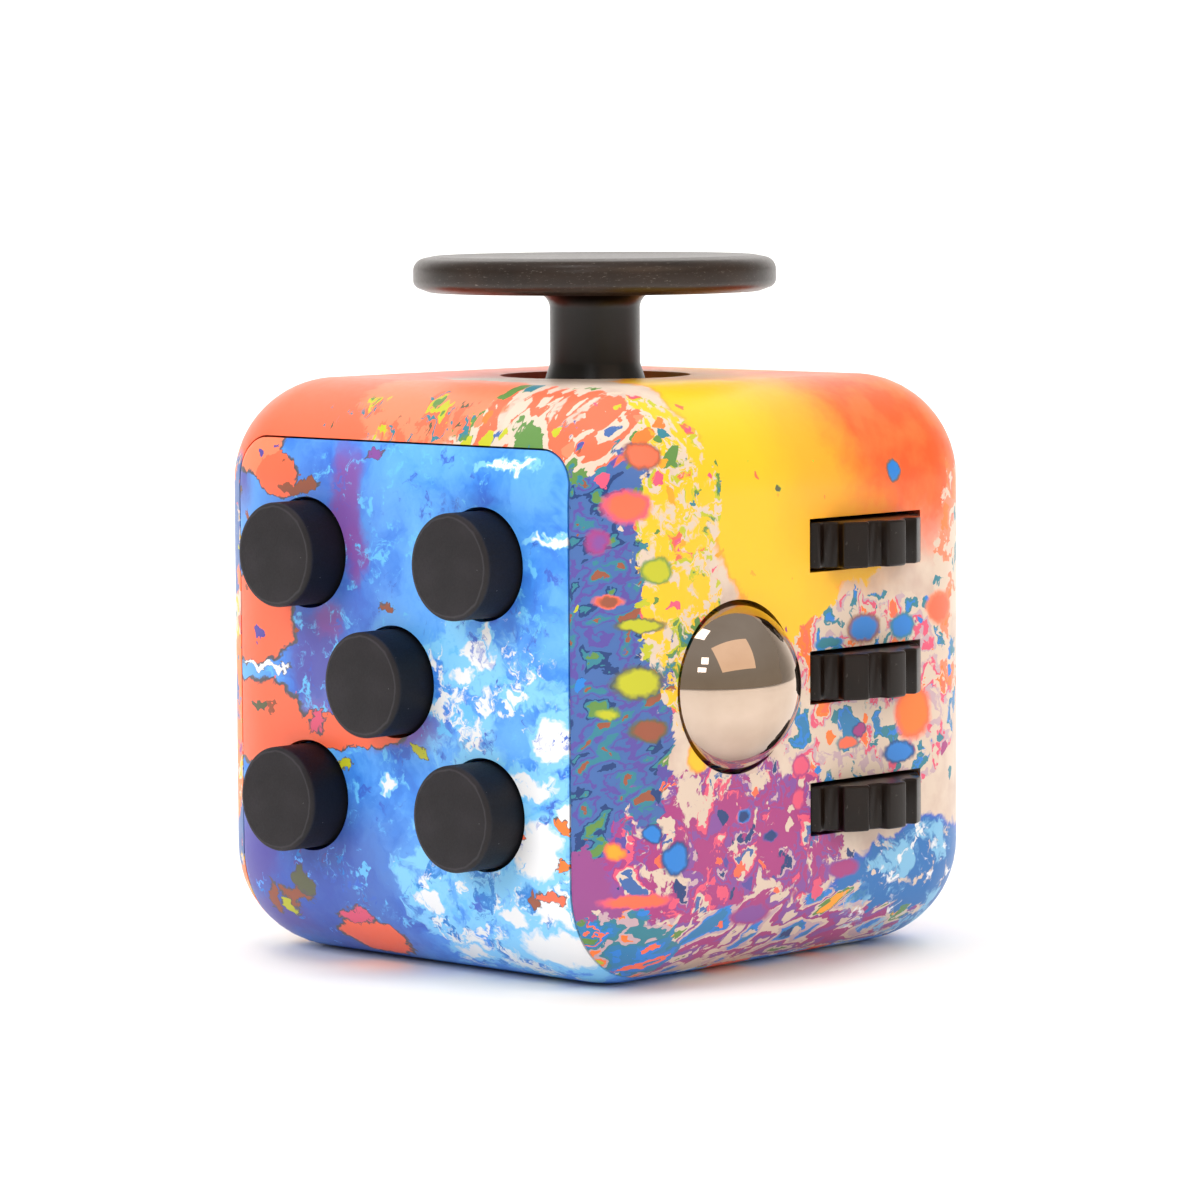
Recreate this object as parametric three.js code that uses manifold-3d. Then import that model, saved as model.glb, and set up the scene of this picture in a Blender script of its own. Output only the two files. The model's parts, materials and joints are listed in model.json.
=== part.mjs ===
// Fidget cube: a 33 mm cube of two interlocking U-shaped shells with a different toy on each face.
// Front (-Y) five push buttons, right (+X) a steel ball and three thumb gears, top (+Z) a tilting
// joystick, back (+Y) a spinning dial, left (-X) a rocker switch, bottom (-Z) a smooth oval dent.
// Millimetres, +Z up. The origin is the middle of the flat bottom; every piece is laid out from
// the middle of the cube, in one group that lifts it by half a side.
import * as THREE from 'three';
import { RoundedBoxGeometry } from 'three/addons/geometries/RoundedBoxGeometry.js';
import { mergeVertices } from 'three/addons/utils/BufferGeometryUtils.js';
import Module from 'manifold-3d';

// ---- driving dimensions ----
const SIDE = 33;
const HALF = SIDE / 2;
const EDGE_RADIUS = 6;
const WALL = 2;
const INNER = HALF - WALL; // inner face of every wall, from the middle of the cube
const GAP = 0.3; // air between pieces that touch
const SEAM_INSET = 3.2; // the shells meet this far in from the sides and the top
const SEAM_CORNER_RADIUS = 1.7;
const LUG = 1.2; // thickness of the screwed-down lugs and plates
const SCREW = { shank: 0.6, head: 1.2, headHeight: 0.8, bite: 1.1 };

const BUTTON = { radius: 2.95, height: 2.6, spacing: 6.9, rim: 0.5, flange: 3.9, nib: 1.2 };
const BACKPLATE = { front: -5.4, thickness: 1, width: 18.6, height: 18.8 };
const BACKPLATE_SCREWS = [[0, 7.6], [0, -7.6], [-7.6, 0]];

const BALL = { radius: 5, depth: 1.96, y: -6.3 };
const BALL_X = HALF - BALL.depth;
const SEAT_RADIUS = 2.6;
const BALL_TUBE = { outer: 3.5, inner: 2.9, floor: 3.6, mouth: 9.4 };

const GEAR = { tip: 5.45, root: 4.9, teeth: 12, thickness: 2.6, pitch: 7.4, depth: 3.05, y: 4.6 };
const GEAR_X = HALF - GEAR.depth;
const AXLE = { radius: 0.8, length: 22 };
const SPACER_RADIUS = 1.6;
const FRAME = { back: 6, front: 7, halfHeight: 9.4, cheek: 9.6, halfWidth: 2 }; // plate behind the gears

const STICK = { pivot: 8.5, stem: 2.6, foot: 6.4, discUnder: 21.3, discTop: 23.4, disc: 10.45 };
const STICK_HOLE = 5.5;
const GIMBAL = { outer: 5.2, inner: 4, height: 2.4, pin: 0.8 };
const CRADLE = { floor: 1.5, postInner: 6.2, postOuter: 7.6, lugEnd: 11, halfWidth: 2 };

const ROCKER = { pivot: 2.9, reach: 6.65, halfWidth: 3.7, tilt: 13, pin: 0.8 };
const ROCKER_X = -(HALF - ROCKER.pivot);
const ROCKER_OPENING = { halfHeight: 7, halfWidth: 4, corner: 0.5 };

const DIAL = { radius: 8.6, height: 2.6, bevel: 0.6, hub: 2.4 };
const DIMPLE = { radius: 2.7, depth: 1.1, offCentre: 4.8 }; // for a fingertip, in the dial
const DENT = { lengthHalf: 9.6, widthHalf: 6.6, depth: 2.2 };

const wasm = await Module();
wasm.setup();

// ---- colours ----
const skin = { color: 0x4f9be0, roughness: 0.42, metalness: 0 };
const charcoal = { color: 0x2d2b2d, roughness: 0.8, metalness: 0 };
const brownBlack = { color: 0x2b2624, roughness: 0.45, metalness: 0 };
const polished = { color: 0xd8d8da, roughness: 0.06, metalness: 1 };
const steel = { color: 0xa9abad, roughness: 0.35, metalness: 1 };
const inside = { color: 0x6d7076, roughness: 0.6, metalness: 0 };
const silicone = { color: 0xc9c4b8, roughness: 0.7, metalness: 0 };

// ---- shape tools ----
const X = new THREE.Vector3(1, 0, 0);
const Y = new THREE.Vector3(0, 1, 0);
const Z = new THREE.Vector3(0, 0, 1);

function solidOf(geometry) {
  geometry.deleteAttribute('normal');
  geometry.deleteAttribute('uv');
  const merged = mergeVertices(geometry, 1e-4);
  const vertProperties = Float32Array.from(merged.attributes.position.array);
  const triVerts = Uint32Array.from(merged.index.array);
  return new wasm.Manifold(new wasm.Mesh({ numProp: 3, vertProperties, triVerts }));
}

function geometryOf(solid) {
  const mesh = solid.getMesh();
  const geometry = new THREE.BufferGeometry();
  geometry.setAttribute('position', new THREE.BufferAttribute(mesh.vertProperties, 3));
  geometry.setIndex(new THREE.BufferAttribute(mesh.triVerts, 1));
  geometry.computeVertexNormals();
  return geometry;
}

const join = (first, ...others) => others.reduce((whole, other) => whole.add(other), first);
const cut = (first, ...others) => others.reduce((whole, other) => whole.subtract(other), first);

// Two stations on one side of the middle, in rising order: side is 1 or -1.
function span(side, near, far) {
  return side > 0 ? [near, far] : [-far, -near];
}

// A solid box between two opposite corners.
function block([x0, y0, z0], [x1, y1, z1]) {
  const geometry = new THREE.BoxGeometry(x1 - x0, y1 - y0, z1 - z0);
  geometry.translate((x0 + x1) / 2, (y0 + y1) / 2, (z0 + z1) / 2);
  return solidOf(geometry);
}

// A solid round bar along x, y or z between two stations; centre gives its other two coordinates.
function rod(axis, radius, from, to, centre = [0, 0], sides = 16) {
  const geometry = new THREE.CylinderGeometry(radius, radius, to - from, sides);
  geometry.translate(0, (from + to) / 2, 0);
  if (axis === 'x') {
    geometry.rotateZ(-Math.PI / 2);
    geometry.translate(0, centre[0], centre[1]);
  } else if (axis === 'y') {
    geometry.translate(centre[0], 0, centre[1]);
  } else {
    geometry.rotateX(Math.PI / 2);
    geometry.translate(centre[0], centre[1], 0);
  }
  return solidOf(geometry);
}

function ball(radius, centre, scale = [1, 1, 1], detail = 5) {
  const geometry = new THREE.IcosahedronGeometry(radius, detail);
  geometry.scale(...scale);
  geometry.translate(...centre);
  return solidOf(geometry);
}

function roundedCube(half, radius, segments) {
  return solidOf(new RoundedBoxGeometry(2 * half, 2 * half, 2 * half, segments, radius));
}

// A profile of [radius, height] points turned about the Y axis.
function turned(profile, sides = 16) {
  return new THREE.LatheGeometry(profile.map(([r, h]) => new THREE.Vector2(r, h)), sides);
}

function ringOf(inner, outer, low, high, sides) {
  return turned([[inner, low], [outer, low], [outer, high], [inner, high], [inner, low]], sides);
}

// A flat outline in (y, z), made into a plate between two stations along x.
function plateAcrossX(shape, from, to) {
  const geometry = new THREE.ExtrudeGeometry(shape, { depth: to - from, bevelEnabled: false });
  geometry.translate(0, 0, from);
  geometry.applyMatrix4(new THREE.Matrix4().makeBasis(Y, Z, X));
  return geometry;
}

function roundedRectangle(halfWidth, low, high, radius) {
  const shape = new THREE.Shape();
  shape.moveTo(-halfWidth, low);
  shape.lineTo(halfWidth, low);
  shape.absarc(halfWidth - radius, high - radius, radius, 0, Math.PI / 2, false);
  shape.absarc(-halfWidth + radius, high - radius, radius, Math.PI / 2, Math.PI, false);
  return shape;
}

const cube = new THREE.Group();
cube.position.z = HALF;

// Adds one named piece. Its own Y axis is turned to point outward.
function piece(name, geometry, look, position = [0, 0, 0], outward = Y) {
  const mesh = new THREE.Mesh(geometry, new THREE.MeshStandardMaterial(look));
  mesh.name = name;
  mesh.position.set(...position);
  mesh.quaternion.setFromUnitVectors(Y, outward);
  cube.add(mesh);
  return mesh;
}

// A pan-head screw standing on its head: its shank points along its own +Y from the seat at y = 0.
function screw(name, length, position, direction) {
  const profile = [
    [0, -SCREW.headHeight],
    [SCREW.head, -SCREW.headHeight],
    [SCREW.head, 0],
    [SCREW.shank, 0],
    [SCREW.shank, length - 0.4],
    [0, length],
  ];
  piece(name, turned(profile, 8), steel, position, direction);
}

// A coil spring along its own +Y, from y = 0 to its length.
class Coil extends THREE.Curve {
  constructor(radius, length, turns) {
    super();
    Object.assign(this, { radius, length, turns });
  }

  getPoint(t, target = new THREE.Vector3()) {
    const angle = 2 * Math.PI * this.turns * t;
    return target.set(this.radius * Math.cos(angle), this.length * t, this.radius * Math.sin(angle));
  }
}

function coilSpring(radius, length, turns, wire) {
  const section = new THREE.Shape();
  for (let i = 0; i < 5; i += 1) {
    const angle = (2 * Math.PI * i) / 5;
    const point = [(wire / 2) * Math.cos(angle), (wire / 2) * Math.sin(angle)];
    if (i === 0) section.moveTo(...point);
    else section.lineTo(...point);
  }
  const path = new Coil(radius, length - wire, turns);
  const geometry = new THREE.ExtrudeGeometry(section, { steps: 9 * turns, extrudePath: path });
  geometry.translate(0, wire / 2, 0);
  return geometry;
}

// ---- the two shells ----
const SEAM = HALF - SEAM_INSET;
const BUTTON_PLACES = {
  top_left: [-BUTTON.spacing, BUTTON.spacing],
  top_right: [BUTTON.spacing, BUTTON.spacing],
  centre: [0, 0],
  bottom_left: [-BUTTON.spacing, -BUTTON.spacing],
  bottom_right: [BUTTON.spacing, -BUTTON.spacing],
};
const GEAR_LEVELS = { upper: GEAR.pitch, middle: 0, lower: -GEAR.pitch };
const ROLL_SCREWS = [[8.6, 10.2], [8.6, -10.2], [BALL.y, 10.6], [BALL.y, -10.6]];
const CRADLE_SCREWS = [[0, 9.6], [0, -9.6]];
const ROCKER_SCREWS = [[7.2, 0], [-7.2, 0]];
const PILOT = SCREW.shank + GAP;
const BITE_END = INNER + SCREW.bite + GAP;

// The space that the front, bottom and back walls take: a tunnel along Y with a rounded roof.
function seamTunnel(seam, cornerRadius) {
  const outline = roundedRectangle(seam, -SIDE, seam, cornerRadius);
  const settings = { depth: 2 * SIDE, bevelEnabled: false, curveSegments: 4 };
  const geometry = new THREE.ExtrudeGeometry(outline, settings);
  geometry.translate(0, 0, -SIDE);
  geometry.rotateX(Math.PI / 2);
  return solidOf(geometry);
}

function hollowCube() {
  return cut(roundedCube(HALF, EDGE_RADIUS, 3), roundedCube(INNER, EDGE_RADIUS - WALL, 2));
}

// Front, bottom and back walls, with button holes, screw bosses, dial hole, dent and tongues.
function frontBottomBackShell() {
  let shell = hollowCube().intersect(seamTunnel(SEAM - GAP / 2, SEAM_CORNER_RADIUS));
  const bossEnd = -HALF - BACKPLATE.front - GAP;
  for (const [x, z] of BACKPLATE_SCREWS) {
    shell = shell.add(rod('y', 1.6, -INNER - 0.5, bossEnd, [x, z], 12));
  }
  for (const [x, z] of BACKPLATE_SCREWS) {
    shell = shell.subtract(rod('y', PILOT, -INNER - 0.6, bossEnd + 1, [x, z], 8));
  }
  for (const [x, z] of Object.values(BUTTON_PLACES)) {
    shell = shell.subtract(rod('y', BUTTON.radius + GAP, -SIDE, -INNER + 1, [x, z], 20));
  }
  shell = shell.subtract(rod('y', DIAL.hub + GAP, INNER - 1, SIDE, [0, 0], 20));

  // Tongues that reach behind the other shell at its four upright edges.
  const tongue = (sx, sy, x, y) => {
    const [x0, x1] = span(sx, ...x);
    const [y0, y1] = span(sy, ...y);
    return block([x0, y0, -11], [x1, y1, -8]);
  };
  for (const sx of [-1, 1]) {
    for (const sy of [-1, 1]) {
      const rib = tongue(sx, sy, [11.6, 12.9], [11.2, 14.2]);
      const hook = tongue(sx, sy, [12.5, 13.7], [11.2, 12.2]);
      shell = join(shell, rib, hook);
    }
  }

  // The dent is a shallow ellipsoid, and the floor swells inward by a wall's thickness behind it.
  const bowlScale = [DENT.lengthHalf, DENT.widthHalf, DENT.depth];
  const swellScale = [DENT.lengthHalf + 1, DENT.widthHalf + 1, DENT.depth + WALL];
  const aboveFloor = block([-SIDE, -SIDE, -INNER - 0.5], [SIDE, SIDE, 0]);
  const swell = ball(1, [0, 0, -HALF], swellScale, 4).intersect(aboveFloor);
  return cut(shell.add(swell), ball(1, [0, 0, -HALF], bowlScale, 6));
}

// Left, top and right walls, with the ball and gear openings, the joystick hole and the rocker's.
function leftTopRightShell() {
  let shell = hollowCube().subtract(seamTunnel(SEAM + GAP / 2, SEAM_CORNER_RADIUS + GAP));
  shell = cut(
    shell,
    ball(BALL.radius + GAP, [BALL_X, BALL.y, 0], [1, 1, 1], 7),
    rod('z', STICK_HOLE, INNER - 1, SIDE, [0, 0], 28),
  );
  const slotHalf = GEAR.thickness / 2 + GAP;
  for (const z of Object.values(GEAR_LEVELS)) {
    shell = shell.subtract(rod('z', GEAR.tip + GAP, z - slotHalf, z + slotHalf, [GEAR_X, GEAR.y], 32));
  }
  const spacerGroove = rod('z', SPACER_RADIUS + GAP, -GEAR.pitch, GEAR.pitch, [GEAR_X, GEAR.y], 12);
  shell = shell.subtract(spacerGroove);
  const { halfHeight, halfWidth, corner } = ROCKER_OPENING;
  const window = roundedRectangle(halfWidth, -halfHeight, halfHeight, corner);
  shell = shell.subtract(solidOf(plateAcrossX(window, -SIDE, -INNER + 1)));
  for (const [y, z] of ROLL_SCREWS) {
    shell = shell.subtract(rod('x', PILOT, INNER - 1, BITE_END, [y, z], 8));
  }
  for (const [y, z] of ROCKER_SCREWS) {
    shell = shell.subtract(rod('x', PILOT, -BITE_END, -INNER + 1, [y, z], 8));
  }
  for (const [x, y] of CRADLE_SCREWS) {
    shell = shell.subtract(rod('z', PILOT, INNER - 1, BITE_END, [x, y], 8));
  }
  return shell;
}

piece('shell_front_bottom_back', geometryOf(frontBottomBackShell()), skin);
piece('shell_left_top_right', geometryOf(leftTopRightShell()), skin);

// ---- front: five push buttons ----
// Heights are measured outward from the face.
function buttonCap() {
  const under = -WALL - GAP;
  const flangeUnder = under - 0.8;
  return turned([
    [0, flangeUnder - 0.8],
    [BUTTON.nib, flangeUnder - 0.8],
    [BUTTON.nib, flangeUnder],
    [BUTTON.flange, flangeUnder],
    [BUTTON.flange, under],
    [BUTTON.radius, under],
    [BUTTON.radius, BUTTON.height - BUTTON.rim],
    [BUTTON.radius - 0.15, BUTTON.height - 0.15],
    [BUTTON.radius - BUTTON.rim, BUTTON.height],
    [0, BUTTON.height],
  ], 18);
}

// A thin dome, open below, that a button presses flat.
function pressDome(foot, crown) {
  const height = -BACKPLATE.front - GAP - 4.2;
  return turned([
    [foot - 0.5, 0],
    [foot, 0],
    [foot * 0.8, height * 0.6],
    [crown, height],
    [0, height],
    [0, height - 0.35],
    [crown - 0.2, height - 0.35],
    [foot * 0.8 - 0.4, height * 0.3],
    [foot - 0.5, 0],
  ], 12);
}

const CLICKING = ['top_left', 'centre', 'bottom_right'];
const FRONT = Y.clone().negate();
for (const [place, [x, z]] of Object.entries(BUTTON_PLACES)) {
  piece(`button_${place}`, buttonCap(), charcoal, [x, -HALF, z], FRONT);
  const clicks = CLICKING.includes(place);
  const dome = clicks ? pressDome(2.4, 1.4) : pressDome(2.2, 1.2);
  const domeName = clicks ? `click_dome_${place}` : `silicone_dome_${place}`;
  piece(domeName, dome, clicks ? steel : silicone, [x, -HALF - BACKPLATE.front - GAP, z], FRONT);
}

function backplate() {
  const front = -HALF - BACKPLATE.front;
  const back = front + BACKPLATE.thickness;
  const halfWidth = BACKPLATE.width / 2;
  const halfHeight = BACKPLATE.height / 2;
  let plate = block([-halfWidth, front, -halfHeight], [halfWidth, back, halfHeight]);
  for (const [x, z] of BACKPLATE_SCREWS) {
    plate = plate.subtract(rod('y', PILOT, front - 1, back + 1, [x, z], 8));
  }
  return plate;
}

piece('button_backplate', geometryOf(backplate()), inside);
BACKPLATE_SCREWS.forEach(([x, z], i) => {
  const seat = -HALF - BACKPLATE.front + BACKPLATE.thickness + GAP;
  screw(`backplate_screw_${i + 1}`, 4, [x, seat, z], FRONT);
});

// ---- right: three thumb gears on one axle ----
function gearOutline() {
  const shape = new THREE.Shape();
  const step = (2 * Math.PI) / GEAR.teeth;
  const corners = [[-0.34, GEAR.root], [-0.25, GEAR.tip], [0.25, GEAR.tip], [0.34, GEAR.root]];
  for (let tooth = 0; tooth < GEAR.teeth; tooth += 1) {
    for (const [turn, radius] of corners) {
      const angle = (tooth + turn) * step;
      const point = [radius * Math.cos(angle), radius * Math.sin(angle)];
      if (tooth === 0 && turn === corners[0][0]) shape.moveTo(...point);
      else shape.lineTo(...point);
    }
  }
  const bore = new THREE.Path();
  bore.absarc(0, 0, AXLE.radius + GAP, 0, 2 * Math.PI, true);
  shape.holes.push(bore);
  return shape;
}

for (const [level, z] of Object.entries(GEAR_LEVELS)) {
  const settings = { depth: GEAR.thickness, bevelEnabled: false, curveSegments: 6 };
  const geometry = new THREE.ExtrudeGeometry(gearOutline(), settings);
  geometry.translate(0, 0, -GEAR.thickness / 2);
  piece(`gear_${level}`, geometry, brownBlack, [GEAR_X, GEAR.y, z]);
}
const axle = new THREE.CylinderGeometry(AXLE.radius, AXLE.radius, AXLE.length, 12);
piece('gear_axle', axle, steel, [GEAR_X, GEAR.y, 0], Z);

// Tubes that keep the gears apart on the axle.
for (const [name, side] of [['gear_spacer_upper', 1], ['gear_spacer_lower', -1]]) {
  const halfLength = (GEAR.pitch - GEAR.thickness) / 2 - GAP;
  const inner = AXLE.radius + GAP;
  const tube = ringOf(inner, SPACER_RADIUS, -halfLength, halfLength, 12);
  piece(name, tube, inside, [GEAR_X, GEAR.y, (side * GEAR.pitch) / 2], Z);
}

// A sheet of spring steel behind the gears, with a finger for each to click against.
function clickCombOutline() {
  const shape = new THREE.Shape();
  const left = GEAR.y - 2;
  const right = GEAR.y + 2;
  const top = GEAR.pitch + 1.4;
  shape.moveTo(left, -top);
  shape.lineTo(right, -top);
  for (const level of [-0.5, 0.5]) {
    const z = level * GEAR.pitch;
    shape.lineTo(right, z - 2.2);
    shape.lineTo(left + 1.2, z - 2.2);
    shape.lineTo(left + 1.2, z + 2.2);
    shape.lineTo(right, z + 2.2);
  }
  shape.lineTo(right, top);
  shape.lineTo(left, top);
  return shape;
}
const COMB_X = FRAME.front + GAP;
piece('gear_click_comb', plateAcrossX(clickCombOutline(), COMB_X, COMB_X + 0.3), steel);

// ---- right: the ball, its sprung seat and the frame that holds the whole face ----
function rollFrame() {
  const wallFace = INNER - GAP;
  const axleHole = rod('z', AXLE.radius + GAP, -AXLE.length, AXLE.length, [GEAR_X, GEAR.y], 10);
  const { back, front, halfHeight, cheek, halfWidth } = FRAME;
  const cheekEnd = cheek + LUG;
  let frame = block([back, BALL.y - 3.2, -halfHeight], [front, GEAR.y + 2.4, halfHeight]);
  for (const side of [-1, 1]) {
    const [cheekLow, cheekHigh] = span(side, cheek, cheekEnd);
    const [webLow, webHigh] = span(side, halfHeight - 0.4, cheekEnd);
    const [lugLow, lugHigh] = span(side, 8.9, 11.4);
    const [postLow, postHigh] = span(side, 7.2, halfHeight);
    const [footLow, footHigh] = span(side, 7.2, 12);
    frame = join(
      frame,
      block([back, GEAR.y - halfWidth, cheekLow], [wallFace, GEAR.y + halfWidth, cheekHigh]),
      block([back, GEAR.y - halfWidth, webLow], [front, GEAR.y + halfWidth, webHigh]),
      block([wallFace - LUG, GEAR.y + 1.8, lugLow], [wallFace, 10.2, lugHigh]),
      block([back, BALL.y - 1.3, postLow], [wallFace, BALL.y + 1.3, postHigh]),
      block([wallFace - LUG - GAP, BALL.y - 1.3, footLow], [wallFace - GAP, BALL.y + 1.3, footHigh]),
    );
  }
  const cup = rod('x', BALL_TUBE.outer, BALL_TUBE.floor, BALL_TUBE.mouth, [BALL.y, 0], 20);
  const bore = rod('x', BALL_TUBE.inner, BALL_TUBE.floor + 0.8, SIDE, [BALL.y, 0], 20);
  frame = cut(join(frame, cup), bore, axleHole);
  for (const [y, z] of ROLL_SCREWS) {
    frame = frame.subtract(rod('x', PILOT, 9, SIDE, [y, z], 8));
  }
  return frame;
}
piece('roll_frame', geometryOf(rollFrame()), inside);
ROLL_SCREWS.forEach(([y, z], i) => {
  const underLug = INNER - GAP - LUG - GAP - (y === BALL.y ? GAP : 0);
  screw(`roll_screw_${i + 1}`, INNER + SCREW.bite - underLug, [underLug, y, z], X);
});

piece('roll_ball', geometryOf(ball(BALL.radius, [0, 0, 0], [1, 1, 1], 4)), polished, [BALL_X, BALL.y, 0]);

// The seat is a slug with a hollow face that fits the ball.
const SEAT_BACK = 8.3;
const seat = rod('x', SEAT_RADIUS, SEAT_BACK, 10, [BALL.y, 0], 18);
const seatHollow = ball(BALL.radius + GAP, [BALL_X, BALL.y, 0], [1, 1, 1], 5);
piece('ball_seat', geometryOf(seat.subtract(seatHollow)), inside);
const springFloor = BALL_TUBE.floor + 0.8 + GAP;
const ballSpring = coilSpring(2, SEAT_BACK - GAP - springFloor, 3, 0.5);
piece('ball_spring', ballSpring, steel, [springFloor, BALL.y, 0], X);

// ---- top: joystick in a gimbal ----
function joystick() {
  const rimMiddle = (STICK.discUnder + STICK.discTop) / 2;
  const profile = [
    [0, STICK.foot],
    [STICK.stem, STICK.foot],
    [STICK.stem, STICK.discUnder - 1],
    [STICK.stem + 0.3, STICK.discUnder - 0.3],
    [STICK.stem + 1, STICK.discUnder],
    [STICK.disc - 0.8, STICK.discUnder],
    [STICK.disc - 0.2, STICK.discUnder + 0.4],
    [STICK.disc, rimMiddle],
    [STICK.disc - 0.2, STICK.discTop - 0.5],
    [STICK.disc - 0.8, STICK.discTop],
    [STICK.disc - 1.8, STICK.discTop],
    [0, STICK.discTop - 0.4],
  ];
  const geometry = turned(profile, 28);
  geometry.rotateX(Math.PI / 2);
  const trunnion = rod('x', GIMBAL.pin, 1 - GIMBAL.outer, GIMBAL.outer - 1, [0, STICK.pivot], 10);
  return join(solidOf(geometry), trunnion);
}

function gimbalRing() {
  const low = STICK.pivot - GIMBAL.height / 2;
  const high = STICK.pivot + GIMBAL.height / 2;
  const pinEnd = CRADLE.postOuter - GAP;
  const ring = join(
    rod('z', GIMBAL.outer, low, high, [0, 0], 24),
    rod('y', GIMBAL.pin, -pinEnd, pinEnd, [0, STICK.pivot], 10),
  );
  const bore = rod('z', GIMBAL.inner, low - 1, high + 1, [0, 0], 24);
  const trunnionHoles = rod('x', GIMBAL.pin + GAP, -SIDE, SIDE, [0, STICK.pivot], 10);
  return cut(ring, bore, trunnionHoles);
}

// A bridge under the stick: a floor for the spring, two posts for the ring's pins, and lugs above.
function joystickCradle() {
  const w = CRADLE.halfWidth;
  const top = INNER - GAP;
  const { floor, postOuter } = CRADLE;
  let cradle = block([-w - 1, -postOuter, floor], [w + 1, postOuter, floor + LUG]);
  for (const side of [-1, 1]) {
    const [postLow, postHigh] = span(side, CRADLE.postInner, CRADLE.postOuter);
    const [lugLow, lugHigh] = span(side, CRADLE.postInner, CRADLE.lugEnd);
    cradle = join(
      cradle,
      block([-w, postLow, CRADLE.floor], [w, postHigh, top]),
      block([-w, lugLow, top - LUG], [w, lugHigh, top]),
    );
  }
  cradle = cradle.subtract(rod('y', GIMBAL.pin + GAP, -SIDE, SIDE, [0, STICK.pivot], 10));
  for (const [x, y] of CRADLE_SCREWS) {
    cradle = cradle.subtract(rod('z', PILOT, 10, SIDE, [x, y], 8));
  }
  return cradle;
}

piece('joystick', geometryOf(joystick()), brownBlack);
piece('gimbal_ring', geometryOf(gimbalRing()), inside);
piece('joystick_cradle', geometryOf(joystickCradle()), inside);
const cradleTop = CRADLE.floor + LUG + GAP;
const stickSpring = coilSpring(1.9, STICK.foot - GAP - cradleTop, 3, 0.5);
piece('joystick_spring', stickSpring, steel, [0, 0, cradleTop], Z);
CRADLE_SCREWS.forEach(([x, y], i) => {
  const underLug = INNER - GAP - LUG - GAP;
  screw(`cradle_screw_${i + 1}`, INNER + SCREW.bite - underLug, [x, y, underLug], Z);
});

// ---- left: rocker switch ----
// The outline is drawn about its pivot, along the cube's height and outward; both ends are arcs
// about the pivot, so that the rocker keeps clear of its window as it tilts.
function rockerOutline() {
  const shape = new THREE.Shape();
  const wing = Math.asin(1 / ROCKER.reach);
  const shoulder = 0.68;
  shape.moveTo(0, -2);
  shape.lineTo(2.2, -1.5);
  shape.lineTo(2.4, 0.6);
  shape.absarc(0, 0, ROCKER.reach, wing, shoulder, false);
  shape.lineTo(0, 3.4);
  shape.absarc(0, 0, ROCKER.reach, Math.PI - shoulder, Math.PI - wing, false);
  shape.lineTo(-2.4, 0.6);
  shape.lineTo(-2.2, -1.5);
  const bore = new THREE.Path();
  bore.absarc(0, 0, ROCKER.pin + GAP, 0, 2 * Math.PI, true);
  shape.holes.push(bore);
  return shape;
}

function rocker() {
  const settings = { depth: 2 * ROCKER.halfWidth, bevelEnabled: false, curveSegments: 5 };
  const geometry = new THREE.ExtrudeGeometry(rockerOutline(), settings);
  geometry.translate(0, 0, -ROCKER.halfWidth);
  geometry.rotateZ(THREE.MathUtils.degToRad(ROCKER.tilt));
  geometry.applyMatrix4(new THREE.Matrix4().makeBasis(Z, X.clone().negate(), Y.clone().negate()));
  return geometry;
}
piece('rocker', rocker(), charcoal, [ROCKER_X, 0, 0]);
const pin = new THREE.CylinderGeometry(ROCKER.pin, ROCKER.pin, 10.4, 12);
piece('rocker_pin', pin, steel, [ROCKER_X, 0, 0]);

// A cradle with two cheeks for the pin and a floor for the snap leaf.
const LEAF_X = ROCKER_X + 2.25;
const LEAF_THICKNESS = 0.35;
function rockerBracket() {
  const wallFace = -INNER + GAP;
  const cheek = ROCKER_OPENING.halfWidth + 0.1;
  const ledge = LEAF_X + LEAF_THICKNESS + GAP;
  let bracket = block([ledge + 0.4, -cheek - LUG, -3.8], [ledge + 1.4, cheek + LUG, 3.8]);
  for (const side of [-1, 1]) {
    const [cheekLow, cheekHigh] = span(side, cheek, cheek + LUG);
    const [lugLow, lugHigh] = span(side, cheek, 8.8);
    const [ledgeLow, ledgeHigh] = span(side, 3, 3.8);
    bracket = join(
      bracket,
      block([wallFace, cheekLow, -2.6], [ledge + 1.4, cheekHigh, 2.6]),
      block([wallFace, lugLow, -1.6], [wallFace + LUG, lugHigh, 1.6]),
      block([ledge, -3, ledgeLow], [ledge + 0.6, 3, ledgeHigh]),
    );
  }
  bracket = bracket.subtract(rod('y', ROCKER.pin + GAP, -SIDE, SIDE, [ROCKER_X, 0], 10));
  for (const [y, z] of ROCKER_SCREWS) {
    bracket = bracket.subtract(rod('x', PILOT, -SIDE, -10, [y, z], 8));
  }
  return bracket;
}
piece('rocker_bracket', geometryOf(rockerBracket()), inside);
piece('rocker_snap_leaf', new THREE.BoxGeometry(LEAF_THICKNESS, 5.2, 7.4), steel,
  [LEAF_X + LEAF_THICKNESS / 2, 0, 0]);
ROCKER_SCREWS.forEach(([y, z], i) => {
  const underLug = -INNER + GAP + LUG + GAP;
  screw(`rocker_screw_${i + 1}`, INNER + SCREW.bite + underLug, [underLug, y, z], X.clone().negate());
});

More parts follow.
